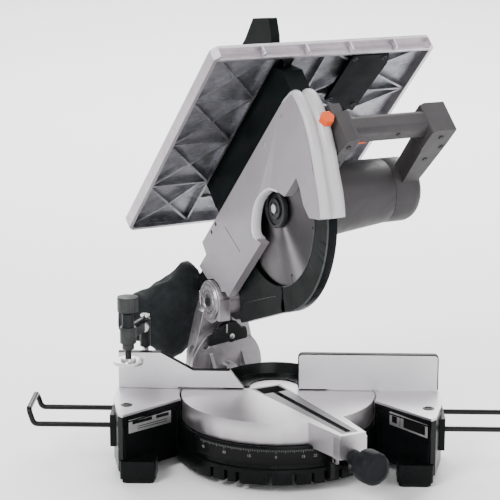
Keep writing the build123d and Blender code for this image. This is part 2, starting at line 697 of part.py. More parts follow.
def handle_body():
    body = across(handle_plan(), -20, 34)
    trim = head_block(430, 480, -30, 60, 42, 170)
    bar_shape = Pos(454, 9) * RectangleRounded(32, 34, 9)
    body -= trim - slab(bar_shape, 42, 170)
    body -= head_block(330, 436, 14, 50, 150, 220)
    body += head_block(420, 462, 30, 54, 19, 39)
    body -= motor_axis(MOTOR_R + 0.1, MOTOR_SEAM, MOTOR_END + 10) + motor_shape(0.1)
    body -= head_block(437, 447, -4, 20, 43, 77)
    return body - head_block(448.8, 462.2, -2.2, 18.2, 46.8, 73.2)


def handle_half(lower):
    cut = head_block(300, 500, -60, 7, 0, 240) if lower else head_block(300, 500, 7, 90, 0, 240)
    return handle_body() & cut


def handle_screws():
    spots = ((456, 192), (430, 205), (400, 190), (456, 120), (450, 30), (410, 28))
    return [across(Pos(p, n) * Circle(4), -21.5, -20) if abs(n - 120) > 1 else
            across(Pos(p, n) * Circle(3.4), -9.5, -8) for p, n in spots]


def trigger():
    return slab(Pos(436, 8) * RectangleRounded(14, 20, 3), 45, 75)


def trigger_switch():
    return head_block(449, 462, -2, 18, 47, 73)


def lock_button():
    return button_shape(0.0)


# ---------------------------------------------------------------- dust collection

def dust_chute():
    return head_block(-58, 34, 47, 67, -17, 9) - head_block(-60, 60, 50, 64, -14, 6)


def bag_section(x, y_low, y_high, z_low, z_high):
    plane = Plane(origin=(x, (y_low + y_high) / 2, (z_low + z_high) / 2), x_dir=(0, 1, 0), z_dir=(-1, 0, 0))
    return plane * RectangleRounded(y_high - y_low, z_high - z_low, 20)


def dust_bag():
    """A closed soft shape hung from the chute, drawn where it hangs at rest."""
    sections = [bag_section(-130, 190, 246, 122, 270), bag_section(-170, 170, 248, 102, 276),
                bag_section(-217, 168, 240, 120, 246), bag_section(-278, 178, 228, 144, 206)]
    return loft(sections) - raised(head_block(-58.2, 34, 46.8, 67.2, -17.2, 9.2))


def riving_knife():
    knife = outline((86, 8), (103, 8), (101, 60), (106, 150), (118, 236), (96, 240), (86, 150))
    return slab(knife, -1.25, 1.25) - rod(104, 226, 3, -4, 4)


# ---------------------------------------------------------------- upper table

def table_rect(inset=0.0):
    mid_p, mid_n = (TOP_BACK + TOP_FRONT) / 2, (TOP_LEFT + TOP_RIGHT) / 2
    plan = Pos(mid_p, mid_n) * Rectangle(TOP_FRONT - TOP_BACK - 2 * inset, TOP_RIGHT - TOP_LEFT - 2 * inset)
    return chamfer(plan.vertices(), 9 if inset == 0 else 6)


def throat(gap=0.0):
    return Pos(258, -4) * Rectangle(372 + 2 * gap, 38 + 2 * gap)


def rib(p0, n0, p1, n1, width=4.0):
    return trace(Line((p0, n0), (p1, n1)), line_width=width)


def crossed_ribs(low, high, bays):
    """Crossed ribs in equal bays along p, between two values of n, with a straight rib between bays."""
    length = (TOP_FRONT - TOP_BACK - 12) / bays
    ribs = []
    for k in range(bays):
        start = TOP_BACK + 6 + k * length
        ribs += [rib(start, low, start + length, high), rib(start, high, start + length, low)]
        ribs += [rib(start, low, start, high)]
    return ribs


def upper_table():
    table = across(table_rect(), TOP_Q - TOP_T, TOP_Q)
    table += across(table_rect() - table_rect(6), TOP_Q - TOP_RIM, TOP_Q)
    ribs = crossed_ribs(TOP_LEFT + 4, -30, 4) + crossed_ribs(60, TOP_RIGHT - 4, 4)
    ribs += [rib(TOP_BACK + 4, n, TOP_FRONT - 4, n) for n in (-30, 60)]
    web = Sketch() + ribs
    table += across(web & table_rect(3), TOP_Q - TOP_RIM + 5, TOP_Q - TOP_T + 1)
    table += across(Pos(461, 55) * Rectangle(6, 382), TOP_Q - TOP_RIM, TOP_Q - TOP_T + 1)
    for n_low, n_high in zip(RIM_RIBS, RIM_RIBS[1:]):
        bay = Rectangle(12, n_high - n_low - 3.5)
        table -= across(Pos(470, (n_low + n_high) / 2) * bay, TOP_Q - TOP_RIM - 1, TOP_Q - 5)
    table -= across(throat(), TOP_Q - 40, TOP_Q + 1)
    table += across(throat(3) - throat(-3), TOP_Q - TOP_T, TOP_Q - 3.2)
    for p in (POST_BACK, POST_FRONT):
        table += across(Pos(p, POST_N) * Circle(15), TOP_Q - TOP_RIM, TOP_Q - TOP_T + 1)
        table -= across(Pos(p, POST_N) * Circle(POST_R), TOP_Q - TOP_RIM - 1, TOP_Q - TOP_T)
    return table


def table_insert():
    plate = across(throat(-0.2), TOP_Q - 3, TOP_Q)
    plate -= across(Pos(250, 0) * Rectangle(345, 8), TOP_Q - 4, TOP_Q + 1)
    return plate


def blade_shroud():
    """Black box under the upper table that hides the blade and slides down inside the arm."""
    top = TOP_Q - TOP_T
    side = outline((112, 88), (112, top), (425, top), (445, 134), (445, 88))
    inner = outline((114.2, 80), (114.2, top), (424, top), (442.8, 133), (442.8, 80))
    shell = slab(side, -21.5, 13.5) - slab(inner, -19.3, 11.3)
    return shell - head_block(110, 114.3, 80, 112, -30, 20)


def table_posts():
    height = TOP_Q - TOP_T
    return [Pos(POST_N, PIVOT_Y - p, PIVOT_Z + height / 2) * Cylinder(POST_R, height)
            for p in (POST_BACK, POST_FRONT)]


def cover_plate():
    plan = outline((345, 101), (457, 104), (457, 170), (434, 177), (312, 167))
    return across(plan, TOP_Q - TOP_RIM - 1.5, TOP_Q - TOP_RIM + 4.9)


def table_lock_knob():
    knob = rod(POST_FRONT, 50, 15, 62, 80)
    knob += rod(POST_FRONT, 50, 4, 54.2, 63)
    return knob


def top_guard():
    """Hood over the blade above the upper table, hinged on the riving knife."""
    hood = outline((82, 196), (82, 246), (126, 262), (368, 262), (408, 268), (449, 234), (436, 208),
                   (420, 190), (112, 190))
    core = outline((70, 180), (70, 239), (127, 259), (368, 259), (407, 265), (445, 233),
                   (432, 208), (418, 180))
    shell = slab(hood, -7.5, 7.5) - slab(core, -5.5, 5.5)
    return shell + rod(104, 226, 2.95, -7, 7)


# ---------------------------------------------------------------- write every node

def group(shapes):
    return Compound(children=list(shapes))


def main():
    save("base_casting", base_casting())
    save("left_wing_plate", wing_plate())
    save("right_wing_plate", mirror(wing_plate(), about=Plane.YZ))
    save("left_fence", left_fence())
    save("right_fence", right_fence())
    save("fence_bridge", fence_bridge())
    save("mitre_scale", mitre_scale())
    save("rubber_feet", group(rubber_foot(x, y) for x, y in feet_points()))
    save("fence_bolts", group(fence_bolts()))
    save("turntable_bolt", turntable_bolt())
    loop = support_rod()
    save("left_support_rod", loop)
    save("right_support_rod", mirror(loop, about=Plane.YZ))
    save("clamp_post", clamp_post())
    save("clamp_arm", clamp_arm())
    save("clamp_screw", clamp_screw())
    save("clamp_foot", clamp_foot())
    on_table = {"turntable": turntable, "kerf_insert": kerf_insert,
                "bevel_support": bevel_support, "mitre_lock_knob": mitre_knob, "mitre_pointer": mitre_pointer,
                "detent_lever": detent_lever, "pivot_bracket": pivot_bracket, "bevel_pin": bevel_pin,
                "bevel_lock_lever": bevel_lever, "chop_pin": chop_pin, "return_spring": return_spring}
    for name, make in on_table.items():
        save(name, turned(make()))
    save("dust_bag", dust_bag())
    on_head = {"arm_casting": arm_casting, "nose_cover": nose_cover, "rear_blade_guard": rear_guard,
               "gear_case": gear_case, "motor_housing": motor_housing, "motor_end_cap": motor_end_cap,
               "stator": stator, "rotor": rotor, "driven_gear": driven_gear,
               "saw_blade": saw_blade, "arbor": arbor, "inner_flange": inner_flange,
               "outer_flange": outer_flange, "blade_bolt": blade_bolt, "moving_blade_guard": moving_guard,
               "trigger": trigger, "trigger_switch": trigger_switch, "lock_button": lock_button,
               "dust_chute": dust_chute, "riving_knife": riving_knife,
               "upper_table": upper_table, "table_insert": table_insert, "blade_shroud": blade_shroud,
               "cover_plate": cover_plate, "table_lock_knob": table_lock_knob, "top_blade_guard": top_guard}
    for name, make in on_head.items():
        save(name, raised(make()))
    save("handle_lower_shell", raised(handle_half(True)))
    save("handle_upper_shell", raised(handle_half(False)))
    save("handle_screws", group(raised(piece) for piece in handle_screws()))
    save("table_posts", group(raised(piece) for piece in table_posts()))
    save("arbor_bearings", group([raised(ring_on(HUB_P, HUB_Q, ARBOR_R + RUN, 16, 9, 19)),
                                  raised(ring_on(HUB_P, HUB_Q, ARBOR_R + RUN, 11, 42.5, 48))]))
    save("motor_bearings", group([raised(ring_on(MOTOR_P, MOTOR_Q, 5 + RUN, 13, 47, 55)),
                                  raised(ring_on(MOTOR_P, MOTOR_Q, 5 + RUN, 9, 182, 190))]))


main()
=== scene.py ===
import json
import math

import bmesh
import bpy
from mathutils import Matrix, Vector, noise


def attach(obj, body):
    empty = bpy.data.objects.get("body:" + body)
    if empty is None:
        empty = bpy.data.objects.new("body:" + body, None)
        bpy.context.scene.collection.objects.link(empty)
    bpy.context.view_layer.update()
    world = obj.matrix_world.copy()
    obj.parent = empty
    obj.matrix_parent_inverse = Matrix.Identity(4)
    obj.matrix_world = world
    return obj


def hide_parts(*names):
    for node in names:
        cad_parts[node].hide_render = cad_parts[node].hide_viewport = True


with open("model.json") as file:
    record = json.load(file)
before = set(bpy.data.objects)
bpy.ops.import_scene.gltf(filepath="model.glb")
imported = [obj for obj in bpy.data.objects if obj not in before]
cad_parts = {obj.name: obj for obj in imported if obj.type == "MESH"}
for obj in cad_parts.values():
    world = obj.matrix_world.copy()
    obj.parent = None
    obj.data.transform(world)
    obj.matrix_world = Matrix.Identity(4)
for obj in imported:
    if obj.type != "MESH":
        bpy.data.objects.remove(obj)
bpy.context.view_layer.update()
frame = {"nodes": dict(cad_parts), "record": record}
NODES = frame["nodes"]
TAU = 2 * math.pi

# ------------------------------------------------------------------ camera

CAMERA_AZIMUTH = math.radians(1.7)
CAMERA_ELEVATION = math.radians(12.73)
CAMERA_ROLL = math.radians(0.17)
CAMERA_DISTANCE = 2.79
CAMERA_TARGET = Vector((-0.0454, 0.0, 0.3454))
LENS = 127.25


def make_camera():
    data = bpy.data.cameras.new("camera")
    data.lens, data.sensor_width = LENS, 36.0
    data.clip_start, data.clip_end = 0.1, 50.0
    cam = bpy.data.objects.new("camera", data)
    bpy.context.scene.collection.objects.link(cam)
    level, rise = math.cos(CAMERA_ELEVATION), math.sin(CAMERA_ELEVATION)
    back = Vector((math.sin(CAMERA_AZIMUTH) * level, -math.cos(CAMERA_AZIMUTH) * level, rise))
    right = (-back).cross(Vector((0, 0, 1))).normalized()
    up = right.cross(-back)
    c, s = math.cos(CAMERA_ROLL), math.sin(CAMERA_ROLL)
    right, up = right * c + up * s, up * c - right * s
    turn = Matrix((right, up, back)).transposed()
    cam.matrix_world = Matrix.Translation(CAMERA_TARGET + back * CAMERA_DISTANCE) @ turn.to_4x4()
    bpy.context.scene.camera = cam


make_camera()

# ------------------------------------------------------------------ places (metres, the CAD's frame)

MITRE = math.radians(30)
ARM = Vector((math.sin(MITRE), -math.cos(MITRE), 0))
SIDE = Vector((math.cos(MITRE), math.sin(MITRE), 0))
UP = Vector((0, 0, 1))
PIVOT = ARM * -0.175 + UP * 0.226
FORWARD = (ARM + UP).normalized()
RISE = (UP - ARM).normalized()
HUB_P, HUB_Q = 257.0, 8.0
BLADE_R = 152.7
ARM_LEFT, GUARD_LEFT, BRACKET_LEFT = -27, -9, -34
SKIRT_R = 160.8
WING_TOP = 110
FENCE_FRONT, FENCE_REAR, FENCE_TOP = 18.8, 29.2, 170.7
CLAMP_SCREW, CLAMP_POST = (-237, -30), (-216, 38)
MITRE_KNOB_Z, BEVEL_LEVER_Z, BEVEL_Z = 74, 166, 110


def head(p, q, n):
    """A point of the saw head, in millimetres forward, up and right of the chop pivot."""
    return PIVOT + (FORWARD * p + RISE * q + SIDE * n) * 0.001


def table(u, n, z):
    """A point of the turntable: millimetres along the arm, to its right, and above the bench."""
    return (ARM * u + SIDE * n + UP * z) * 0.001


def base(x, y, z):
    return Vector((x, y, z)) * 0.001


def polar(p, q, r, degrees):
    a = math.radians(degrees)
    return (p + r * math.cos(a), q + r * math.sin(a))


# ------------------------------------------------------------------ materials

class Nodes:
    """A material whose nodes are made one call at a time."""

    def __init__(self, name):
        self.mat = bpy.data.materials.new(name)
        self.mat.use_nodes = True
        self.tree = self.mat.node_tree
        self.bsdf = self.tree.nodes["Principled BSDF"]
        self.coords = self.add("ShaderNodeTexCoord").outputs["Object"]

    def add(self, kind, **inputs):
        made = self.tree.nodes.new(kind)
        for key, value in inputs.items():
            if hasattr(made, key) and key not in made.inputs:
                setattr(made, key, value)
            else:
                self.put(made.inputs[key.replace("_", " ")], value)
        return made

    def put(self, socket, value):
        if isinstance(value, bpy.types.NodeSocket):
            self.tree.links.new(value, socket)
        else:
            socket.default_value = value

    def math(self, operation, a, b=0.5):
        made = self.tree.nodes.new("ShaderNodeMath")
        made.operation = operation
        self.put(made.inputs[0], a)
        self.put(made.inputs[1], b)
        return made.outputs[0]

    def noise(self, scale, detail=3.0, vector=None, rough=0.55):
        made = self.tree.nodes.new("ShaderNodeTexNoise")
        self.put(made.inputs["Vector"], vector or self.coords)
        made.inputs["Scale"].default_value = scale
        made.inputs["Detail"].default_value = detail
        made.inputs["Roughness"].default_value = rough
        return made.outputs["Fac"]

    def stretch(self, x, y, z, vector=None):
        made = self.tree.nodes.new("ShaderNodeMapping")
        self.put(made.inputs["Vector"], vector or self.coords)
        made.inputs["Scale"].default_value = (x, y, z)
        return made.outputs["Vector"]

    def ramp(self, value, low, high, out_low=0.0, out_high=1.0):
        made = self.tree.nodes.new("ShaderNodeMapRange")
        self.put(made.inputs["Value"], value)
        for socket, number in zip(made.inputs[1:5], (low, high, out_low, out_high)):
            socket.default_value = number
        return made.outputs["Result"]

    def blend(self, factor, a, b):
        made = self.tree.nodes.new("ShaderNodeMix")
        made.data_type = "RGBA"
        self.put(made.inputs[0], factor)
        self.put(made.inputs[6], a)
        self.put(made.inputs[7], b)
        return made.outputs[2]

    def bump(self, height, strength, distance=0.0004, normal=None):
        made = self.tree.nodes.new("ShaderNodeBump")
        made.inputs["Strength"].default_value = strength
        made.inputs["Distance"].default_value = distance
        self.put(made.inputs["Height"], height)
        if normal is not None:
            self.put(made.inputs["Normal"], normal)
        return made.outputs["Normal"]

    def edges(self, low=0.505, high=0.56):
        made = self.tree.nodes.new("ShaderNodeNewGeometry")
        return self.ramp(made.outputs["Pointiness"], low, high)

    def axis(self, index, vector=None):
        made = self.tree.nodes.new("ShaderNodeSeparateXYZ")
        self.put(made.inputs[0], vector or self.coords)
        return made.outputs[index]

    def vector(self, operation, a, b):
        made = self.tree.nodes.new("ShaderNodeVectorMath")
        made.operation = operation
        self.put(made.inputs[0], a)
        self.put(made.inputs[1], b)
        return made.outputs[0]

    def dot(self, direction, origin):
        """Distance from a point along a direction, both fixed in the object."""
        made = self.tree.nodes.new("ShaderNodeVectorMath")
        made.operation = "DOT_PRODUCT"
        self.put(made.inputs[0], self.vector("SUBTRACT", self.coords, tuple(origin)))
        made.inputs[1].default_value = tuple(direction)
        return made.outputs["Value"]

    def radius(self, centre=(0, 0, 0), axis=(0, 0, 1)):
        """Distance from an axis, as a vector along X for one-dimensional noise."""
        flat = self.tree.nodes.new("ShaderNodeVectorMath")
        flat.operation = "CROSS_PRODUCT"
        self.put(flat.inputs[0], self.vector("SUBTRACT", self.coords, centre))
        flat.inputs[1].default_value = axis
        length = self.tree.nodes.new("ShaderNodeVectorMath")
        length.operation = "LENGTH"
        self.put(length.inputs[0], flat.outputs[0])
        line = self.tree.nodes.new("ShaderNodeCombineXYZ")
        self.put(line.inputs[0], length.outputs["Value"])
        return line.outputs[0]

    def done(self, color, rough, metal=0.0, normal=None, **extra):
        self.put(self.bsdf.inputs["Base Color"], color)
        self.put(self.bsdf.inputs["Roughness"], rough)
        self.bsdf.inputs["Metallic"].default_value = metal
        if normal is not None:
            self.put(self.bsdf.inputs["Normal"], normal)
        for key, value in extra.items():
            self.bsdf.inputs[key.replace("_", " ")].default_value = value
        return self.mat


def rgb(r, g, b, k=1.0):
    return (r * k, g * k, b * k, 1.0)


def paint(name, color, rough, grain=700.0, bump=0.25, vary=0.25, wear=0.0, worn=(0.5, 0.5, 0.5), **extra):
    """Cast or sheet metal under paint: mottled tone, orange peel and lighter edges."""
    m = Nodes(name)
    tone = m.blend(m.ramp(m.noise(9.0, 5.0), 0.35, 0.65), rgb(*color, 1 - vary), rgb(*color, 1 + vary))
    if wear:
        rubbed = m.math("MULTIPLY", m.edges(), m.ramp(m.noise(90.0, 4.0), 0.4, 0.6, 0.2, wear))
        tone = m.blend(rubbed, tone, rgb(*worn))
    gloss = m.ramp(m.noise(35.0, 6.0), 0.3, 0.7, rough * 0.8, rough * 1.25)
    relief = m.bump(m.noise(grain, 2.0), bump, 0.0003)
    return m.done(tone, gloss, 0.0, relief, **extra)


def metal(name, color, rough, lines=(1, 1, 1), grain=400.0, bump=0.15, vary=0.08, rings=None, **extra):
    """Bare metal with the machining marks running along one direction, or turned round an axis."""
    m = Nodes(name)
    along = m.radius(*rings) if rings else m.stretch(*lines)
    marks = m.noise(grain, 4.0, along, 0.7)
    cloud = m.noise(7.0, 4.0)
    tone = m.blend(m.ramp(cloud, 0.35, 0.65), rgb(*color, 1 - vary), rgb(*color, 1 + vary))
    tone = m.blend(m.ramp(marks, 0.35, 0.7, 0.0, 0.35), tone, rgb(*color, 0.72))
    gloss = m.ramp(m.math("ADD", m.math("MULTIPLY", marks, 0.6), m.math("MULTIPLY", cloud, 0.4)), 0.3, 0.7,
                   rough * 0.8, rough * 1.3)
    return m.done(tone, gloss, 1.0, m.bump(marks, bump, 0.0001), **extra)


def plastic(name, color, rough, grain=1400.0, bump=0.5, **extra):
    """Moulded plastic with a fine spark-eroded texture."""
    m = Nodes(name)
    tone = m.blend(m.ramp(m.noise(14.0, 4.0), 0.35, 0.65), rgb(*color, 0.88), rgb(*color, 1.12))
    tone = m.blend(m.math("MULTIPLY", m.edges(), 0.15), tone, rgb(*color, 1.9))
    gloss = m.ramp(m.noise(60.0, 5.0), 0.3, 0.7, rough * 0.85, rough * 1.2)
    return m.done(tone, gloss, 0.0, m.bump(m.noise(grain, 1.0), bump, 0.0002), **extra)


def cast_metal(name, color, rough, grain=260.0, bump=0.5, vary=0.15, **extra):
    """Bare pressure-cast aluminium: cloudy, slightly rough skin."""
    m = Nodes(name)
    cloud = m.noise(16.0, 6.0, None, 0.65)
    tone = m.blend(m.ramp(cloud, 0.3, 0.7), rgb(*color, 1 - vary), rgb(*color, 1 + vary))
    tone = m.blend(m.math("MULTIPLY", m.edges(), 0.4), tone, rgb(*color, 1.3))
    gloss = m.ramp(m.noise(120.0, 4.0), 0.3, 0.7, rough * 0.8, rough * 1.2)
    return m.done(tone, gloss, 1.0, m.bump(m.noise(grain, 3.0), bump, 0.0003), **extra)


def cloth(name, color, rough):
    """Woven nylon: crossed threads, sheen on the folds and faded ridges."""
    m = Nodes(name)
    warp = m.math("SINE", m.math("MULTIPLY", m.axis(0), 5200.0))
    weft = m.math("SINE", m.math("MULTIPLY", m.axis(2), 5200.0))
    weave = m.math("MULTIPLY", warp, weft)
    worn = m.math("MULTIPLY", m.edges(0.5, 0.6), m.ramp(m.noise(60.0, 4.0), 0.35, 0.65))
    tone = m.blend(m.ramp(m.noise(12.0, 5.0), 0.3, 0.7), rgb(*color, 0.7), rgb(*color, 1.5))
    tone = m.blend(m.math("MULTIPLY", worn, 0.5), tone, rgb(*color, 3.0))
    relief = m.bump(weave, 0.25, 0.0002, m.bump(m.noise(45.0, 6.0), 0.6, 0.002))
    gloss = m.ramp(m.noise(90.0, 3.0), 0.3, 0.7, rough * 0.85, 1.0)
    return m.done(tone, gloss, 0.0, relief, Sheen_Weight=0.03, Sheen_Roughness=0.4, Specular_IOR_Level=0.2)


def cast_table(name):
    """Upper table: bright machined rim, with a darker copy of the metal painted on the ribbed underside as
    shade, flow marks and lighter rib edges.
    """
    m = Nodes(name)
    back, front, left, right, top = 0.0195, 0.4615, -0.1345, 0.2445, 0.1652
    along = m.dot(FORWARD, PIVOT)
    across = m.dot(SIDE, Vector((0, 0, 0)))
    lengthwise = m.math("MINIMUM", m.math("SUBTRACT", along, back), m.math("SUBTRACT", front, along))
    crosswise = m.math("MINIMUM", m.math("SUBTRACT", across, left), m.math("SUBTRACT", right, across))
    depth = m.math("MINIMUM", lengthwise, crosswise)
    below_top = m.math("SUBTRACT", top, m.dot(RISE, PIVOT))
    # painted shade: mask of the faces inside the table's outline and below its top, which take the darker tone
    inside = m.ramp(m.math("MINIMUM", depth, below_top), 0.0, 0.0015)
    cloud = m.noise(22.0, 7.0, None, 0.7)
    flow = m.noise(60.0, 4.0, m.stretch(1, 1, 5), 0.6)
    light = m.blend(m.ramp(cloud, 0.3, 0.7), rgb(0.52, 0.485, 0.515), rgb(0.66, 0.625, 0.655))
    # darker copy of the rim's metal: painted shade on the underside
    dark = m.blend(m.ramp(cloud, 0.35, 0.65), rgb(0.17, 0.178, 0.195), rgb(0.40, 0.395, 0.42))
    dark = m.blend(m.math("MULTIPLY", m.ramp(flow, 0.55, 0.75), 0.6), dark, rgb(0.56, 0.55, 0.575))
    dark = m.blend(m.math("MULTIPLY", m.edges(0.53, 0.62), 0.7), dark, rgb(0.6, 0.59, 0.61))
    tone = m.blend(inside, light, dark)
    gloss = m.ramp(m.noise(120.0, 4.0), 0.3, 0.7, 0.36, 0.5)
    return m.done(tone, gloss, 1.0, m.bump(m.noise(240.0, 4.0), 0.7, 0.0004, m.bump(cloud, 0.5, 0.002)))


def brushed_disc(name, color, centre, axis):
    """Ground steel disc: rings of grinding marks, and a highlight that fans out from the centre."""
    m = Nodes(name)
    marks = m.noise(900.0, 4.0, m.radius(centre, axis), 0.7)
    cloud = m.noise(18.0, 5.0)
    tone = m.blend(m.ramp(cloud, 0.3, 0.7), rgb(*color, 0.85), rgb(*color, 1.15))
    tone = m.blend(m.ramp(marks, 0.4, 0.65, 0.0, 0.4), tone, rgb(*color, 0.6))
    round_it = m.vector("CROSS_PRODUCT", m.vector("SUBTRACT", m.coords, centre), axis)
    turned = m.tree.nodes.new("ShaderNodeVectorTransform")
    turned.vector_type, turned.convert_from, turned.convert_to = "VECTOR", "OBJECT", "WORLD"
    m.put(turned.inputs[0], round_it)
    m.put(m.bsdf.inputs["Tangent"], m.vector("NORMALIZE", turned.outputs[0], (0, 0, 0)))
    gloss = m.ramp(marks, 0.3, 0.7, 0.5, 0.6)
    return m.done(tone, gloss, 1.0, m.bump(marks, 0.2, 0.0001), Anisotropic=1.0)


MATS = {
    "base_black": paint("base_black", (0.0022, 0.0026, 0.0028), 0.3, 900, 0.3, 0.3, Specular_IOR_Level=0.1),
    "machined": metal("machined", (0.56, 0.54, 0.56), 0.34, (4, 60, 60), 60, 0.1),
    "fence_alu": metal("fence_alu", (0.70, 0.685, 0.71), 0.4, (60, 60, 4), 60, 0.1),
    "turned_alu": metal("turned_alu", (0.56, 0.535, 0.555), 0.36, grain=420, rings=((0, 0, 0), (0, 0, 1)),
                        bump=0.12),
    "insert_grey": metal("insert_grey", (0.17, 0.168, 0.172), 0.45, (4, 60, 60), 60, 0.1),
    "scale_black": paint("scale_black", (0.003, 0.003, 0.0033), 0.4, 1200, 0.15, 0.2, Specular_IOR_Level=0.13),
    "scale_grey": paint("scale_grey", (0.16, 0.165, 0.17), 0.5, 1500, 0.1, 0.15),
    "rubber": plastic("rubber", (0.006, 0.006, 0.0065), 0.72, 500, 0.6, Specular_IOR_Level=0.13),
    "zinc": metal("zinc", (0.52, 0.52, 0.53), 0.3, (1, 1, 1), 300, 0.1),
    "chrome": metal("chrome", (0.78, 0.78, 0.79), 0.12, (1, 1, 1), 120, 0.03, 0.03),
    "rod_black": paint("rod_black", (0.004, 0.004, 0.0042), 0.22, 1200, 0.12, 0.3, Specular_IOR_Level=0.2),
    "clamp_dark": paint("clamp_dark", (0.010, 0.0115, 0.012), 0.36, 500, 0.5, 0.3, 0.3, (0.12, 0.12, 0.12),
                        Specular_IOR_Level=0.13),
    "clamp_plate": metal("clamp_plate", (0.6, 0.6, 0.6), 0.3, (1, 1, 1), 200, 0.08),
    "knob_black": plastic("knob_black", (0.007, 0.0075, 0.008), 0.38, 900, 0.4, Specular_IOR_Level=0.13),
    "pointer": paint("pointer", (0.55, 0.06, 0.03), 0.35, 900, 0.1, 0.1),
    "head_white": paint("head_white", (0.235, 0.218, 0.236), 0.42, 600, 0.3, 0.06, Coat_Weight=0.12),
    # lighter copy of head_white for the nose cover, which shares the head's paint: painted light on its
    # upward-facing front
    "nose_white_painted_light": paint("nose_white_painted_light", (0.46, 0.445, 0.465), 0.34, 600, 0.3, 0.05, Coat_Weight=0.25),
    "guard_black": paint("guard_black", (0.0022, 0.0038, 0.0038), 0.36, 800, 0.3, 0.25,
                         Specular_IOR_Level=0.07),
    "motor_grey": plastic("motor_grey", (0.050, 0.047, 0.049), 0.42, 1100, 0.5, Specular_IOR_Level=0.16),
    "windings": metal("windings", (0.45, 0.22, 0.1), 0.4, (1, 1, 1), 300, 0.3),
    "blade_steel": metal("blade_steel", (0.30, 0.29, 0.30), 0.36, (1, 1, 1), 200, 0.1),
    "saw_disc": brushed_disc("saw_disc", (0.17, 0.162, 0.168), tuple(head(HUB_P, HUB_Q, 0)), tuple(SIDE)),
    "flange_black": paint("flange_black", (0.004, 0.0045, 0.006), 0.28, 900, 0.2, 0.2, 0.2,
                          (0.08, 0.08, 0.08), Specular_IOR_Level=0.15),
    "orange": plastic("orange", (0.60, 0.075, 0.012), 0.36, 1000, 0.15, Specular_IOR_Level=0.3),
    "table_alu": cast_table("table_alu"),
    "slate": paint("slate", (0.0012, 0.0022, 0.004), 0.45, 700, 0.3, 0.3, Specular_IOR_Level=0.05),
    "knob_soft": plastic("knob_soft", (0.0065, 0.0075, 0.009), 0.5, 700, 0.35, Specular_IOR_Level=0.1),
    "plate_white": metal("plate_white", (0.6, 0.6, 0.6), 0.4, (4, 60, 60), 80, 0.05, 0.04),
    "scoop_black": paint("scoop_black", (0.0035, 0.0045, 0.0045), 0.26, 900, 0.2, 0.3, Specular_IOR_Level=0.2),
    "shadow_black": paint("shadow_black", (0.004, 0.004, 0.005), 0.7, 900, 0.1, 0.1),
    # lighter copy of the head paint for the lip of the hub opening: painted highlight where its curved edge
    # catches the light
    "rim_painted_highlight": paint("rim_painted_highlight", (0.62, 0.6, 0.62), 0.3, 700, 0.1, 0.05, Coat_Weight=0.2),
    "guard_edge": paint("guard_edge", (0.012, 0.016, 0.016), 0.28, 900, 0.15, 0.2, 0.3, (0.15, 0.16, 0.16),
                        Specular_IOR_Level=0.2),
    "tip_grey": metal("tip_grey", (0.5, 0.5, 0.5), 0.25, (1, 1, 1), 300, 0.05),
    "turned_disc": cast_metal("turned_disc", (0.40, 0.385, 0.395), 0.38, 200, 0.35),
    "bag_cloth": cloth("bag_cloth", (0.0075, 0.0098, 0.0105), 0.8),
    "bracket_alu": cast_metal("bracket_alu", (0.36, 0.345, 0.36), 0.42),
}

RECORD_SLOT = {s["node"]: s["material_slot"] for s in frame["record"]["subparts"]}
# handle_screws take the black flange paint in place of zinc: painted shade of the recessed holes they sit in
OWN_MATERIAL = {"turntable": "turned_alu", "left_fence": "fence_alu", "right_fence": "fence_alu",
                "pivot_bracket": "bracket_alu", "bevel_support": "bracket_alu",
                "outer_flange": "flange_black", "nose_cover": "nose_white_painted_light", "saw_blade": "saw_disc",
                "handle_screws": "flange_black", "fence_bridge": "scoop_black"}
BEVELS = {"base_casting": 2.2, "turntable": 1.2, "arm_casting": 1.2, "nose_cover": 2.0, "left_fence": 1.0,
          "right_fence": 1.0, "pivot_bracket": 1.6, "bevel_support": 1.0, "handle_upper_shell": 2.2,
          "handle_lower_shell": 2.2, "moving_blade_guard": 1.0, "rear_blade_guard": 1.2, "upper_table": 0.8,
          "top_blade_guard": 1.6, "clamp_arm": 1.6, "mitre_lock_knob": 2.5, "bevel_lock_lever": 2.2,
          "rubber_feet": 2.0, "lock_button": 1.4, "trigger": 1.2, "fence_bridge": 0.6, "blade_shroud": 0.8}
HIDDEN_FINE = {"rotor", "driven_gear", "stator", "saw_blade", "return_spring", "left_support_rod",
               "right_support_rod"}


def soften(obj, width):
    weld = obj.modifiers.new("weld", "WELD")
    weld.merge_threshold = 1e-6
    bevel = obj.modifiers.new("bevel", "BEVEL")
    bevel.width, bevel.segments = width * 0.001, 2
    bevel.limit_method, bevel.angle_limit = "ANGLE", math.radians(32)
    bevel.use_clamp_overlap = True
    bevel.harden_normals = True


def dress_cad_nodes():
    for name, obj in NODES.items():
        obj.data.materials.clear()
        obj.data.materials.append(MATS[OWN_MATERIAL.get(name, RECORD_SLOT[name])])
        if name not in HIDDEN_FINE:
            soften(obj, BEVELS.get(name, 0.6))


dress_cad_nodes()

# ------------------------------------------------------------------ making pieces


def circle(radius, steps, turn=0.0):
    """Points evenly spaced round the origin, the first one turned from the first axis."""
    angles = [TAU * i / steps + turn for i in range(steps)]
    return [(radius * math.cos(t), radius * math.sin(t)) for t in angles]


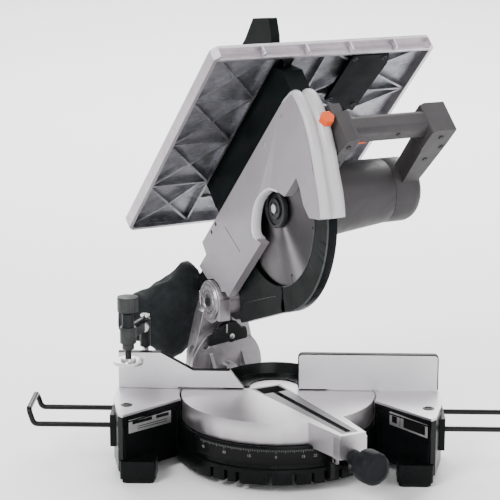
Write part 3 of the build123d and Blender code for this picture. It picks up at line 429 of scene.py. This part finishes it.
class Shape:
    """Points and faces of one piece, gathered from solids laid out in a local place.

    A place turns three lengths in millimetres into a point of the CAD's frame."""

    def __init__(self):
        self.verts, self.faces, self.rims = [], [], []

    def prism(self, place, points, low, high):
        k, n = len(self.verts), len(points)
        self.verts += [place(a, b, h) for h in (low, high) for a, b in points]
        self.faces += [tuple(range(k, k + n)), tuple(range(k + n, k + 2 * n))]
        self.faces += [(k + i, k + (i + 1) % n, k + n + (i + 1) % n, k + n + i) for i in range(n)]
        return self

    def loft(self, rings, closed=False):
        """Joins rings that have the same number of points; the ends are capped, or met if closed."""
        k, n = len(self.verts), len(rings[0])
        for ring in rings:
            self.verts += ring
        last = len(rings) if closed else len(rings) - 1
        for r in range(last):
            for i in range(n):
                a, b = k + r * n, k + ((r + 1) % len(rings)) * n
                self.faces.append((a + i, a + (i + 1) % n, b + (i + 1) % n, b + i))
        if not closed:
            end = k + (len(rings) - 1) * n
            self.faces += [tuple(range(k, k + n)), tuple(range(end, end + n))]
        return self

    def lathe(self, place, profile, steps=48):
        """profile is (radius, height) along the surface, from one end to the other."""
        rings = []
        for radius, height in profile:
            rings.append([place(a, b, height) for a, b in circle(radius, steps)])
        return self.loft(rings)

    def tube(self, path, radius, sides=10, closed=False):
        """A round bar along points in metres."""
        rings, side = [], None
        for i, here in enumerate(path):
            before = path[i - 1] if i or closed else here
            after = path[(i + 1) % len(path)] if i < len(path) - 1 or closed else here
            along = (after - before).normalized()
            side = along.orthogonal() if side is None else side - along * side.dot(along)
            side.normalize()
            other = along.cross(side)
            r = radius * 0.001 if isinstance(radius, (int, float)) else radius[i] * 0.001
            rings.append([here + (side * math.cos(TAU * j / sides) + other * math.sin(TAU * j / sides)) * r
                          for j in range(sides)])
        return self.loft(rings, closed)

    def piece(self, name, material, body, bevel=0.0, sharp=40, levels=0, slot=None, stands_for=()):
        mesh = bpy.data.meshes.new(name)
        mesh.from_pydata([tuple(v) for v in self.verts], [], self.faces)
        bm = bmesh.new()
        bm.from_mesh(mesh)
        bmesh.ops.recalc_face_normals(bm, faces=bm.faces)
        bm.to_mesh(mesh)
        bm.free()
        mesh.polygons.foreach_set("use_smooth", [True] * len(mesh.polygons))
        mesh.set_sharp_from_angle(angle=math.radians(sharp))
        obj = bpy.data.objects.new(name, mesh)
        bpy.context.scene.collection.objects.link(obj)
        mesh.materials.append(MATS[material])
        if bevel:
            soften(obj, bevel)
        if levels:
            obj.modifiers.new("smooth", "SUBSURF").render_levels = levels
            obj.modifiers["smooth"].levels = levels
        if stands_for:
            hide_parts(*stands_for)
        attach(obj, body)
        return obj


def side_of_head(n_sign=-1, p0=0.0, q0=0.0, n0=0.0):
    """A place on a side of the head: lengths along p, along q, and out from the side."""
    return lambda a, b, h: head(p0 + a, q0 + b, n0 + n_sign * h)


def smooth_path(points, samples, rounds=3):
    """Evenly spaced points along a polyline, with its corners rounded."""
    for _ in range(rounds):
        cut = [points[0]]
        for a, b in zip(points, points[1:]):
            cut += [tuple(x * (1 - t) + y * t for x, y in zip(a, b)) for t in (0.25, 0.75)]
        points = cut + [points[-1]]
    lengths = [0.0]
    for a, b in zip(points, points[1:]):
        lengths.append(lengths[-1] + math.dist(a, b))
    made, k = [], 0
    for i in range(samples):
        want = lengths[-1] * i / (samples - 1)
        while k < len(points) - 2 and lengths[k + 1] < want:
            k += 1
        t = (want - lengths[k]) / max(lengths[k + 1] - lengths[k], 1e-9)
        made.append(tuple(x + (y - x) * t for x, y in zip(points[k], points[k + 1])))
    return made


# ------------------------------------------------------------------ base


def wing_face(side):
    """A place on the slanted front of a wing: along it from the turntable, up, and out of it."""
    inner, outer = Vector((side * 155, -34, 0)), Vector((side * 243, -130, 0))
    along = (outer - inner).normalized()
    out = Vector((-side * along.y, side * along.x, 0))
    if out.y > 0:
        out = -out
    return lambda a, b, h: (inner + along * a + out * h + UP * b) * 0.001


def frame_bars(place, corners, width, low, high):
    """A picture-frame ridge round a quadrilateral, drawn as one bar per side."""
    shape = Shape()
    centre = [sum(c[i] for c in corners) / len(corners) for i in (0, 1)]
    inner = []
    for a, b in corners:
        far = math.dist((a, b), centre)
        inner.append(tuple(v + (c - v) * width / far for v, c in zip((a, b), centre)))
    for i in range(len(corners)):
        j = (i + 1) % len(corners)
        shape.prism(place, [corners[i], corners[j], inner[j], inner[i]], low, high)
    return shape


def label_plate(side, low_a, high_a, z_in, z_out, depth=21.5):
    """A riveted aluminium rating plate without writing, with a dark printed panel."""
    place = wing_face(side)
    name = "left" if side < 0 else "right"
    quad = [(low_a, z_in - depth), (high_a, z_out - depth), (high_a, z_out), (low_a, z_in)]
    Shape().prism(place, quad, -0.3, 0.7).piece(
        f"{name}_rating_plate", "plate_white", "base", 0.3, slot="machined")

    def inside(a0, a1, b0, b1):
        points = []
        for s, t in ((a0, b0), (a1, b0), (a1, b1), (a0, b1)):
            top = z_in + (z_out - z_in) * s
            points.append((low_a + (high_a - low_a) * s, top - depth + depth * t))
        return points

    print_parts = Shape()
    if side < 0:
        print_parts.prism(place, inside(0.06, 0.36, 0.62, 0.86), 0.6, 0.95)
        print_parts.prism(place, inside(0.46, 0.92, 0.62, 0.86), 0.6, 0.95)
        for t in (0.2, 0.36):
            print_parts.prism(place, inside(0.1, 0.8, t, t + 0.05), 0.6, 0.95)
    else:
        print_parts.prism(place, inside(0.07, 0.2, 0.25, 0.75), 0.6, 0.95)
        print_parts.prism(place, inside(0.38, 0.94, 0.16, 0.84), 0.6, 0.95)
        print_parts.prism(place, inside(0.28, 0.29, 0.1, 0.9), 0.6, 0.95)
    print_parts.piece(f"{name}_plate_print", "scale_black", "base", slot="scale_black")


def make_base_details():
    for side in (-1, 1):
        name = "left" if side < 0 else "right"
        place = wing_face(side)
        face = [(6, 24), (118, 24), (124, 98), (3, 98)]
        frame_bars(place, face, 4.5, -0.6, 1.5).piece(
            f"{name}_face_ridge", "base_black", "base", 0.6, slot="base_black")
        screw = Shape()
        x, y = side * 236.5, -71.5
        spot = lambda a, b, h, x=x, y=y: base(x + a, y + b, WING_TOP + h)
        profile = [(0.01, -1), (9.2, -1), (9.2, 0.5), (8.2, 1.2), (5.2, 1.2), (4.6, 0.1), (0.01, 0.1)]
        screw.lathe(spot, profile, 36)
        screw.piece(f"{name}_wing_screw", "flange_black", "base", slot="zinc")
        cap = Shape().prism(spot, circle(2.6, 6), 0.05, 0.45)
        cap.piece(f"{name}_wing_screw_socket", "clamp_dark", "base", slot="zinc")
    label_plate(-1, 20.5, 110, 96.5, 99.0)
    label_plate(1, 33, 115, 100.8, 98.6)


def on_skirt(degrees, z, out):
    """A place on the front of the round skirt: degrees from the front, height, and outwards."""
    t = math.radians(degrees - 90)
    return base((SKIRT_R + out) * math.cos(t), (SKIRT_R + out) * math.sin(t), z)


def make_mitre_marks():
    marks = Shape()
    for degree in range(-47, 48):
        tall = 5.5 if degree % 15 == 0 else 4.2 if degree % 5 == 0 else 2.8
        width = 0.075
        left, right, top = degree - width, degree + width, 69
        marks.prism(on_skirt, [(left, top), (right, top), (right, top - tall), (left, top - tall)], -0.1, 0.25)
    marks.piece("mitre_scale_ticks", "scale_grey", "base", slot="scale_black")
    numerals = {}
    for degree in (-45, -30, -15, 0, 15, 22, 30, 45):
        text = bpy.data.curves.new("numeral", "FONT")
        text.body, text.size, text.extrude = str(abs(degree)), 6.2, 0.2
        text.align_x = "CENTER"
        made = bpy.data.objects.new("numeral", text)
        bpy.context.scene.collection.objects.link(made)
        bpy.context.view_layer.update()
        mesh = bpy.data.meshes.new_from_object(made)
        numerals[degree] = mesh
        bpy.data.objects.remove(made)
    shape = Shape()
    for degree, mesh in numerals.items():
        k = len(shape.verts)
        for v in mesh.vertices:
            shape.verts.append(on_skirt(degree + math.degrees(v.co.x / SKIRT_R), 56.0 + v.co.y, v.co.z))
        shape.faces += [tuple(k + i for i in poly.vertices) for poly in mesh.polygons]
        bpy.data.meshes.remove(mesh)
    shape.piece("mitre_scale_numerals", "scale_grey", "base", slot="scale_black")


def make_clamp_knob():
    """Fluted knob on the clamp's screw, and the locking stud on its sleeve."""
    profile = [(0.01, 275.2), (9, 275.2), (14.5, 274.6), (16.7, 272.4), (16.7, 255), (15.6, 251.9), (11, 251.3),
               (11, 271.6)]
    steps, rings = 90, []
    for radius, z in profile:
        ring = []
        for i in range(steps):
            t = TAU * i / steps
            r = radius - (1.1 * max(0.0, math.cos(9 * t)) ** 2 if radius > 12 else 0.0)
            ring.append(base(CLAMP_SCREW[0] + r * math.cos(t), CLAMP_SCREW[1] + r * math.sin(t), z))
        rings.append(ring)
    Shape().loft(rings).piece("clamp_knob_cap", "clamp_dark", "clamp_spindle", sharp=40, slot="clamp_dark")
    stud = lambda a, b, h: base(CLAMP_POST[0] + a, CLAMP_POST[1] - 8.6 - h, 211.7 + b)
    profile = [(0.01, 0), (3.4, 0), (3.4, 6), (7.5, 6.2), (8.2, 7.5), (8.2, 11), (7.2, 12.4), (0.01, 12.4)]
    Shape().lathe(stud, profile, 30).piece(
        "clamp_sleeve_stud", "zinc", "clamp", 0.3, slot="zinc")


def fence_strip(name, line):
    """Dark strip along the top edge of a fence."""
    shape = Shape()
    for (xa, za), (xb, zb) in zip(line, line[1:]):
        quad = [(xa, za + 0.3), (xb, zb + 0.3), (xb, zb - 1.0), (xa, za - 1.0)]
        shape.prism(lambda a, b, h: base(a, h, b), quad, FENCE_FRONT, FENCE_REAR)
    shape.piece(name, "scale_black", "base", slot="scale_black")


def make_fence_edges():
    fence_strip("left_fence_edge", [(-258, FENCE_TOP), (-190, FENCE_TOP), (-137, 141.3), (-78, 141.3)])
    angles = [math.radians(15 * i) for i in range(7)]
    corners, height, foot = (39, 251), FENCE_TOP - 7, 113

    def over_the_top(r):
        """A line up one end of the fence, round its two top corners and down the other end."""
        left = [(corners[0] - r * math.cos(t), height + r * math.sin(t)) for t in angles]
        right = [(corners[1] + r * math.sin(t), height + r * math.cos(t)) for t in angles]
        return [(corners[0] - r, foot)] + left + right + [(corners[1] + r, foot)]

    outer, within = over_the_top(7.2), over_the_top(5.4)
    shape = Shape()
    for i in range(len(outer) - 1):
        quad = [outer[i], outer[i + 1], within[i + 1], within[i]]
        shape.prism(lambda a, b, h: base(a, h, b), quad, FENCE_FRONT, FENCE_REAR)
    shape.piece("right_fence_edge", "scale_black", "base", slot="scale_black")


def make_pocket_liner():
    """Black shell inside the chip pocket behind the kerf plate: painted shade in the recess."""
    shape = Shape()
    quad = [(-21.9, 6.1), (21.9, 6.1), (21.9, 37.9), (-21.9, 37.9)]
    centre = (0, 22)
    inner = [(x * 0.93, centre[1] + (y - centre[1]) * 0.93) for x, y in quad]
    place = lambda a, b, h: table(-b, a, h)
    rings = [[place(a, b, 109.2) for a, b in quad], [place(a, b, 92.1) for a, b in quad],
             [place(a, b, 93.2) for a, b in inner], [place(a, b, 109.2) for a, b in inner]]
    shape.verts = [v for ring in rings for v in ring]
    for r in range(4):
        a, b = r * 4, ((r + 1) % 4) * 4
        if r != 1:
            shape.faces += [(a + i, a + (i + 1) % 4, b + (i + 1) % 4, b + i) for i in range(4)]
    shape.faces += [(4, 5, 6, 7), (8, 9, 10, 11)]
    shape.piece("chip_pocket_shade", "shadow_black", "rotary_table", slot="guard_black")


make_base_details()
make_mitre_marks()
make_clamp_knob()
make_fence_edges()
make_pocket_liner()

# ------------------------------------------------------------------ turntable and bevel group


def make_mitre_knob():
    """Round clamping knob with shallow finger scallops and a softly domed face."""
    profile = [(0.01, -232.5), (11.5, -232.5), (12.4, -234), (12.4, -258), (16, -262), (21.5, -265),
               (25, -269.5), (26, -275), (26, -289), (24.6, -295), (21.5, -298), (17.5, -299.3),
               (16.5, -298.6), (8, -298.9), (0.01, -299)]
    steps, rings = 96, []
    for radius, y in profile:
        ring = []
        for i in range(steps):
            t = TAU * i / steps
            grip = 0.9 * max(0.0, math.cos(6 * t)) ** 3 * min(1.0, radius / 24)
            r = max(radius - grip, 0.01)
            ring.append(table(-y, r * math.cos(t), MITRE_KNOB_Z + r * math.sin(t)))
        rings.append(ring)
    Shape().loft(rings).piece("mitre_knob_grip", "knob_soft", "mitre_knob", sharp=50, slot="knob_black",
                              stands_for=("mitre_lock_knob",))
    along_arm = lambda a, b, h: table(h, a, MITRE_KNOB_Z + b)
    Shape().lathe(along_arm, [(0.01, 206), (6, 206), (6, 233.5), (0.01, 233.5)], 24).piece(
        "mitre_knob_spindle", "zinc", "mitre_knob", 0.4, slot="zinc")


def make_pivot_rings():
    """Turned face of the pivot boss, with its washer and bolt."""
    place = side_of_head(-1, 0, 0, BRACKET_LEFT)
    profile = [(0.01, -0.5), (33.0, -0.5), (33.0, 1.6), (32.2, 2.6), (31.0, 2.6), (30.0, 1.2), (27.4, 0.9),
               (26.6, 2.1), (20.6, 2.1), (19.8, 0.8), (18.6, 0.8), (17.8, 2.8), (15, 2.8), (14.2, 1.5),
               (0.01, 1.5)]
    Shape().lathe(place, profile, 72).piece(
        "pivot_face", "turned_disc", "bevel_group", sharp=25, slot="machined")
    ribs = Shape()
    for k in range(12):
        t = TAU * k / 12 + 0.1
        side = (math.cos(t), math.sin(t))
        cross = (-side[1], side[0])
        ribs.prism(place, [(side[0] * 20.5 - cross[0] * 0.9, side[1] * 20.5 - cross[1] * 0.9),
                           (side[0] * 27 - cross[0] * 1.1, side[1] * 27 - cross[1] * 1.1),
                           (side[0] * 27 + cross[0] * 1.1, side[1] * 27 + cross[1] * 1.1),
                           (side[0] * 20.5 + cross[0] * 0.9, side[1] * 20.5 + cross[1] * 0.9)], 1.0, 3.1)
    ribs.piece("pivot_face_ribs", "turned_disc", "bevel_group", 0.3, slot="machined")
    # the bolt's hex takes the black flange paint in place of zinc: painted shade of the hollow round the pivot
    # bolt
    Shape().prism(place, circle(8.2, 6), 1.4, 4.4).piece(
        "pivot_bolt_hex", "flange_black", "bevel_group", 0.6, slot="zinc")


def make_bevel_lever():
    """Three soft lobes round a boss, as one moulded grip."""
    steps = 120
    layers = ((0.01, 158), (0.82, 158), (0.95, 159), (1.0, 161.5), (1.0, 166), (0.96, 169), (0.85, 171),
              (0.01, 171))
    lobes = ((187, 43.0, 17.0), (170, 34.0, 16.0), (128, 27.0, 20.0), (86, 26.0, 20.0), (40, 24.0, 14.0),
             (6, 31.0, 20.0))
    rings = []
    for scale, depth in layers:
        ring = []
        for i in range(steps):
            degrees = 360 * i / steps
            reach = 11.0
            for centre, length, width in lobes:
                gap = abs((degrees - centre + 180) % 360 - 180)
                if gap < 90:
                    edge = width / 2 / max(math.sin(math.radians(gap)), 1e-3)
                    reach = max(reach, min(length, edge) if edge > 0 else length)
            r = max(reach * scale, 0.01) if scale > 0.5 else 0.01
            t = math.radians(degrees)
            ring.append(table(-depth, r * math.cos(t), BEVEL_LEVER_Z + r * math.sin(t)))
        rings.append(ring)
    Shape().loft(rings).piece("bevel_lever_grip", "knob_black", "bevel_lever", 0.8, sharp=60, slot="knob_black",
                              stands_for=("bevel_lock_lever",))
    behind = lambda a, b, h: table(-h, a, BEVEL_LEVER_Z + b)
    cap = [(0.01, 156.8), (3, 156.8), (4.4, 157.3), (4.4, 158.4), (0.01, 158.4)]
    Shape().lathe(behind, cap, 30).piece("bevel_lever_cap", "zinc", "bevel_lever", sharp=30, slot="zinc")
    insert = [(-11.5, 7), (-9, 7), (-9, 22), (-11.5, 22)]
    Shape().prism(behind, insert, 156.6, 158.6).piece(
        "bevel_lever_insert", "zinc", "bevel_lever", 0.3, slot="zinc")
    stud = [(0.01, 171), (5, 171), (5, 208), (0.01, 208)]
    Shape().lathe(behind, stud, 24).piece("bevel_lever_stud", "zinc", "bevel_lever", 0.4, slot="zinc")


def make_bevel_scale():
    """Degree marks stamped round the front of the half disc."""
    marks = Shape()
    for degree in range(0, 91):
        tall = 6.5 if degree % 15 == 0 else 4.5 if degree % 5 == 0 else 3.0
        t = math.radians(degree + 45)
        out, cross = (math.cos(t), math.sin(t)), (-math.sin(t), math.cos(t))
        ends = [(64.6, -0.16), (64.6, 0.16), (64.6 - tall, 0.16), (64.6 - tall, -0.16)]
        marks.prism(lambda a, b, h: table(-176 + h, a, BEVEL_Z + b),
                    [(out[0] * r + cross[0] * w, out[1] * r + cross[1] * w) for r, w in ends], -0.1, 0.15)
    marks.piece("bevel_scale_ticks", "scale_black", "rotary_table", slot="scale_black")


make_mitre_knob()
make_pivot_rings()
make_bevel_lever()
make_bevel_scale()

# ------------------------------------------------------------------ saw head


def nose_outline():
    arc = [polar(HUB_P, HUB_Q, 170.5, a) for a in range(-16, -41, -4)]
    front = [(413, 94), (434, 90), (447, 88), (451, 80), (452.5, 60), (451, 36), (444, 11), (436, -12)]
    return front + arc[1:]


def make_nose():
    """The cast front cover: two smooth bulges side by side that run down the front of the arm."""
    edge = smooth_path(nose_outline(), 90)
    widths = [(-26.4, 0.0), (-26.0, 2.6), (-24.4, 5.0), (-21.5, 6.8), (-17, 7.8), (-12.5, 6.8), (-9.6, 4.0),
              (-8.2, 1.6), (-6.4, 1.0), (-4.8, 1.6), (-3.4, 4.2), (-0.4, 7.4), (4.5, 8.8), (10, 7.8),
              (13.8, 5.2), (16, 2.6), (16.6, 0.0)]
    rings = []
    for i, (p, q) in enumerate(edge):
        p0, q0 = edge[max(i - 1, 0)]
        p1, q1 = edge[min(i + 1, len(edge) - 1)]
        length = math.hypot(p1 - p0, q1 - q0)
        out = ((q0 - q1) / length, (p1 - p0) / length)
        t = i / (len(edge) - 1)
        ends = min(1.0, t / 0.05, (1 - t) / 0.05)
        lift = 0.55 + 0.45 * math.sqrt(max(ends, 0.0))
        ring = [head(p + out[0] * h * lift, q + out[1] * h * lift, n) for n, h in widths]
        ring += [head(p - out[0] * 1.2, q - out[1] * 1.2, n) for n in (16.4, 8, 0, -8, -16, -26.2)]
        rings.append(ring)
    # the nose is drawn in a lighter copy of the head paint as painted light
    Shape().loft(rings).piece("nose_shell", "nose_white_painted_light", "head", sharp=50, levels=1, slot="head_white",
                              stands_for=("nose_cover",))
    tab = [(-4, -3.5), (4, -3.5), (4.6, 2.0), (2.4, 4.2), (-2.4, 4.2), (-4.6, 2.0)]
    Shape().prism(lambda a, b, h: head(452 + b, 57 + h, 17 + a), tab, -1.5, 1.5).piece(
        "nose_tab", "nose_white_painted_light", "head", 0.6, slot="head_white")


def socket_screws(name, place, spots, radius, body, material="flange_black", height=1.4, out=0.0):
    """Socket-head screws set in a surface: a rounded rim round a hexagonal hollow."""
    shape = Shape()
    for a0, b0 in spots:
        spot = lambda a, b, h, a0=a0, b0=b0: place(a0 + a, b0 + b, out + h)
        shape.lathe(spot, [(0.01, -1), (radius, -1), (radius, height * 0.6), (radius * 0.86, height),
                           (radius * 0.55, height), (radius * 0.5, height * 0.2), (0.01, height * 0.2)], 32)
    return shape.piece(name, material, body, sharp=35, slot="zinc")


def make_arm_details():
    side = side_of_head(-1, 0, 0, ARM_LEFT)
    Shape().prism(side, [(125.2, 64.7), (126.2, 65.0), (141.0, 5.8), (140.1, 5.6)], -0.5, 0.18).piece(
        "arm_casting_seam", "shadow_black", "head", slot="guard_black")
    wall = [(311, 5), (296, 21), (281, 29), (255, 34), (234, 32), (212, 20), (195, 3), (203, -12)]
    wall = smooth_path(wall, 60, 2)
    middle = (HUB_P - 10, HUB_Q - 14)
    rings = []
    for p, q in wall:
        inward = Vector((middle[0] - p, middle[1] - q)).normalized()
        profile = [(-1.6, -27.6), (1.4, -27.9), (2.6, -26.5), (2.6, -12.5), (1.2, -11.2), (-1.6, -11.2)]
        rings.append([head(p + inward.x * a, q + inward.y * a, n) for a, n in profile])
    # the lip is drawn in a lighter copy of the head paint as painted highlight
    Shape().loft(rings).piece("hub_opening_lip", "rim_painted_highlight", "head", sharp=50, slot="head_white")
    holes = Shape()
    for p, q in ((101, 87.5), (79, 86.5)):
        holes.prism(side, [(p - 3, q - 3), (p + 3, q - 3), (p + 3, q + 3), (p - 3, q + 3)], -0.5, 0.25)
    holes.piece("arm_square_holes", "shadow_black", "head", slot="guard_black")
    socket_screws("arm_side_screws", side, [(404, 78), (330, 82), (150, 82)], 3.6, "head", "zinc", 1.0)


def make_blade_details():
    """Ground tips and the laser-cut expansion slots."""
    tips = Shape()
    for k in range(48):
        a, b = k * 7.5 - 0.15, k * 7.5 + 1.5
        corners = ((BLADE_R, a), (BLADE_R - 1.8, b), (BLADE_R - 5.9, b + 0.4), (BLADE_R - 5.3, a - 0.1))
        tips.prism(head, [polar(HUB_P, HUB_Q, r, d) for r, d in corners], -1.6, 1.6)
    tips.piece("blade_tips", "tip_grey", "blade", slot="blade_steel")
    slots = Shape()
    for k in range(6):
        path = [(141 - i * 2.3, k * 60 + 10 + 2.6 * math.sin(i * 0.42)) for i in range(15)]
        for a, b in zip(path, path[1:]):
            corners = ((a, -0.28), (a, 0.28), (b, 0.28), (b, -0.28))
            slots.prism(head, [polar(HUB_P, HUB_Q, r, d + w) for (r, d), w in corners], -1.32, 1.32)
        end = polar(HUB_P, HUB_Q, 108, path[-1][1])
        slots.prism(head, [(x + end[0], y + end[1]) for x, y in circle(2.6, 12)], -1.34, 1.34)
    slots.piece("blade_slots", "shadow_black", "blade", slot="guard_black")
    place = side_of_head(-1, HUB_P, HUB_Q, 0)
    profile = [(0.01, 6.5), (30.9, 6.5), (30.9, 8.2), (29.4, 9.2), (26.5, 9.2), (25.4, 7.2), (17.5, 7.0),
               (16.6, 9.6), (12.6, 9.6), (12, 8.6), (0.01, 8.6)]
    Shape().lathe(place, profile, 64).piece(
        "blade_flange_rings", "flange_black", "blade", sharp=28, slot="blade_steel")


def make_guard_details():
    """Rolled rims on the swinging guard and the seam of the fixed one."""
    rim = Shape()
    outer = [head(*polar(HUB_P, HUB_Q, 163.0, 238 + i * 1.0), -8.1) for i in range(85)]
    inner = [head(*polar(HUB_P, HUB_Q, 123.2, 238 + i * 1.0), -8.1) for i in range(88)]
    rim.tube(outer, 1.3, 8)
    rim.tube(inner, 1.0, 8)
    rim.piece("guard_rolled_rims", "guard_edge", "lower_guard", sharp=60, slot="guard_black")
    place = side_of_head(-1, 0, 0, GUARD_LEFT)
    seam = Shape().prism(place, [(75.0, -51.0), (75.6, -52.2), (162.8, -95.6), (162.2, -94.4)], -0.4, 0.5)
    seam.piece("fixed_guard_seam", "guard_edge", "head", 0.2, slot="guard_black")


def make_cover_screws():
    below_plate = 144.5
    place = lambda a, b, h: head(a, below_plate - h, b)
    spots = [(350, 108), (449, 111), (449, 164), (330, 160)]
    socket_screws("cover_plate_screws", place, spots, 4.2, "top_table", "clamp_dark", 1.4)
    flange = [(404, 152), (437, 152), (437, 165.8), (404, 165.8)]
    Shape().prism(side_of_head(-1, 0, 0, -7), flange, 0.0, 2.0).piece(
        "shroud_flange", "slate", "top_table", 0.4, slot="slate")


make_nose()
make_arm_details()
make_blade_details()
make_guard_details()
make_cover_screws()

# ------------------------------------------------------------------ dust collection


def bag_ring(x, y0, y1, z0, z1, steps):
    """One loop of the bag's cloth: fuller at the bottom, gathered at the top."""
    ring = []
    cy, cz, ry, rz = (y0 + y1) / 2, (z0 + z1) / 2, (y1 - y0) / 2, (z1 - z0) / 2
    for i in range(steps):
        t = TAU * i / steps
        c, s = math.cos(t), math.sin(t)
        power = 0.78 if s < 0 else 0.92
        y = cy + ry * math.copysign(abs(c) ** power, c)
        z = cz + rz * math.copysign(abs(s) ** power, s)
        ring.append(Vector((x, y, z)))
    return ring


def make_dust_bag():
    """Woven bag gathered on the elbow's collar, half full, sagging behind the saw."""
    sections = [(-133, 199, 236, 196, 250), (-140, 190, 240, 168, 266), (-148, 182, 243, 148, 273),
                (-158, 177, 245, 132, 278), (-170, 173, 247, 119, 278), (-186, 170, 246, 112, 269),
                (-203, 169, 243, 114, 254), (-220, 170, 240, 121, 240), (-238, 172, 237, 130, 228),
                (-256, 175, 233, 138, 216), (-270, 180, 227, 147, 208), (-277, 190, 218, 160, 197)]
    steps, fine, rings = 84, [], []
    for a, b in zip(sections, sections[1:]):
        for k in range(5):
            fine.append(tuple(u + (v - u) * k / 5 for u, v in zip(a, b)))
    fine.append(sections[-1])
    for j, row in enumerate(fine):
        ring = bag_ring(*row, steps)
        centre = sum(ring, Vector()) / steps
        gather = max(0.0, 1 - abs(row[0] + 133) / 34)
        for i, v in enumerate(ring):
            out = (v - centre)
            reach = out.length
            out = out / max(reach, 1e-6)
            t = TAU * i / steps
            big = noise.noise(Vector((v.x * 0.018, v.y * 0.02, v.z * 0.018)) + Vector((3, 1, 7)))
            slanted = Vector((v.x * 0.022 + v.z * 0.03, v.y * 0.02, (v.z - v.x) * 0.010))
            ridge = noise.noise(slanted + Vector((9, 2, 5)))
            crease = -math.sqrt(ridge * ridge + 0.012) * 1.6
            fine_fold = noise.noise(Vector((v.x * 0.06 - v.z * 0.05, v.y * 0.03, v.z * 0.02)))
            pleat = math.sin(t * 11 + 2 * big) * gather * 2.6
            grow = big * 12.0 + (crease + 0.42) * 9.0 + fine_fold * 1.6 + pleat
            v += out * max(min(grow, 6.0), -12.0) - out * 2.0
            v.z -= 2.0 * math.sin(math.pi * j / len(fine)) * max(0.0, -out.z)
        rings.append([v * 0.001 for v in ring])
    Shape().loft(rings).piece("dust_bag_cloth", "bag_cloth", "head", sharp=180, levels=1, slot="bag_cloth",
                              stands_for=("dust_bag",))


def make_elbow():
    """Ribbed plastic elbow that joins the chute to the bag."""
    path = smooth_path([(34, 57, -4), (-30, 57, -4), (-52, 57, -6), (-60, 57, -14), (-61, 56, -26)], 24, 3)
    rings = []
    points = [head(*p) for p in path[9:]]
    for i, here in enumerate(points):
        along = (points[min(i + 1, len(points) - 1)] - points[max(i - 1, 0)]).normalized()
        side = along.cross(RISE).normalized()
        up = side.cross(along)
        swell = 1.0 + (0.05 if i % 3 == 0 else 0.0)
        ring = []
        for k in range(40):
            t = TAU * k / 40
            c, s = math.cos(t), math.sin(t)
            wide = 17.0 * math.copysign(abs(c) ** 0.55, c) * swell
            tall = 14.0 * math.copysign(abs(s) ** 0.55, s) * swell
            ring.append(here + (side * wide + up * tall) * 0.001)
        rings.append(ring)
    Shape().loft(rings).piece("dust_elbow", "knob_black", "head", sharp=45, slot="knob_black")
    collar_at = points[-1]
    along = (points[-1] - points[-3]).normalized()
    side = along.cross(RISE).normalized()
    up = side.cross(along)
    band = [collar_at + (side * a * 19 + up * b * 17) * 0.001 for a, b in circle(1.0, 48)]
    Shape().tube(band, 2.2, 8, closed=True).piece("dust_bag_band", "rubber", "head", sharp=180, slot="rubber")


make_dust_bag()
make_elbow()

# ------------------------------------------------------------------ studio


def make_studio():
    m = Nodes("floor")
    tone = m.blend(m.noise(1.5, 3.0), rgb(0.9, 0.9, 0.905), rgb(0.93, 0.93, 0.93))
    m.done(tone, 0.7, 0.0, m.bump(m.noise(180.0, 2.0), 0.05, 0.0005))
    bpy.ops.mesh.primitive_plane_add(size=60, location=(0, 0, 0))
    floor = bpy.context.object
    floor.name = "floor"
    floor.data.materials.append(m.mat)
    world = bpy.data.worlds.new("studio")
    bpy.context.scene.world = world
    world.use_nodes = True
    background = world.node_tree.nodes["Background"]
    background.inputs["Color"].default_value = (1, 1, 1, 1)
    background.inputs["Strength"].default_value = 0.5
    lamps = (("key", (-1.5, -2.1, 2.3), (0, 0, 0.3), 1.2, 95),
             ("front", (0.5, -2.6, 0.9), (0, 0, 0.2), 1.6, 22),
             ("fill", (2.3, -1.2, 1.3), (0, 0, 0.3), 1.4, 26),
             ("back_near", (0, 2.6, 3.2), (0, 2.2, 0), 4.0, 260),
             ("back_far", (0, 7.5, 4.5), (0, 6.5, 0), 8.0, 1100))
    for name, place, aim, size, power in lamps:
        data = bpy.data.lights.new(name, "AREA")
        data.energy, data.size = power, size
        lamp = bpy.data.objects.new(name, data)
        bpy.context.scene.collection.objects.link(lamp)
        lamp.location = place
        lamp.rotation_euler = (Vector(aim) - Vector(place)).to_track_quat("-Z", "Y").to_euler()


make_studio()
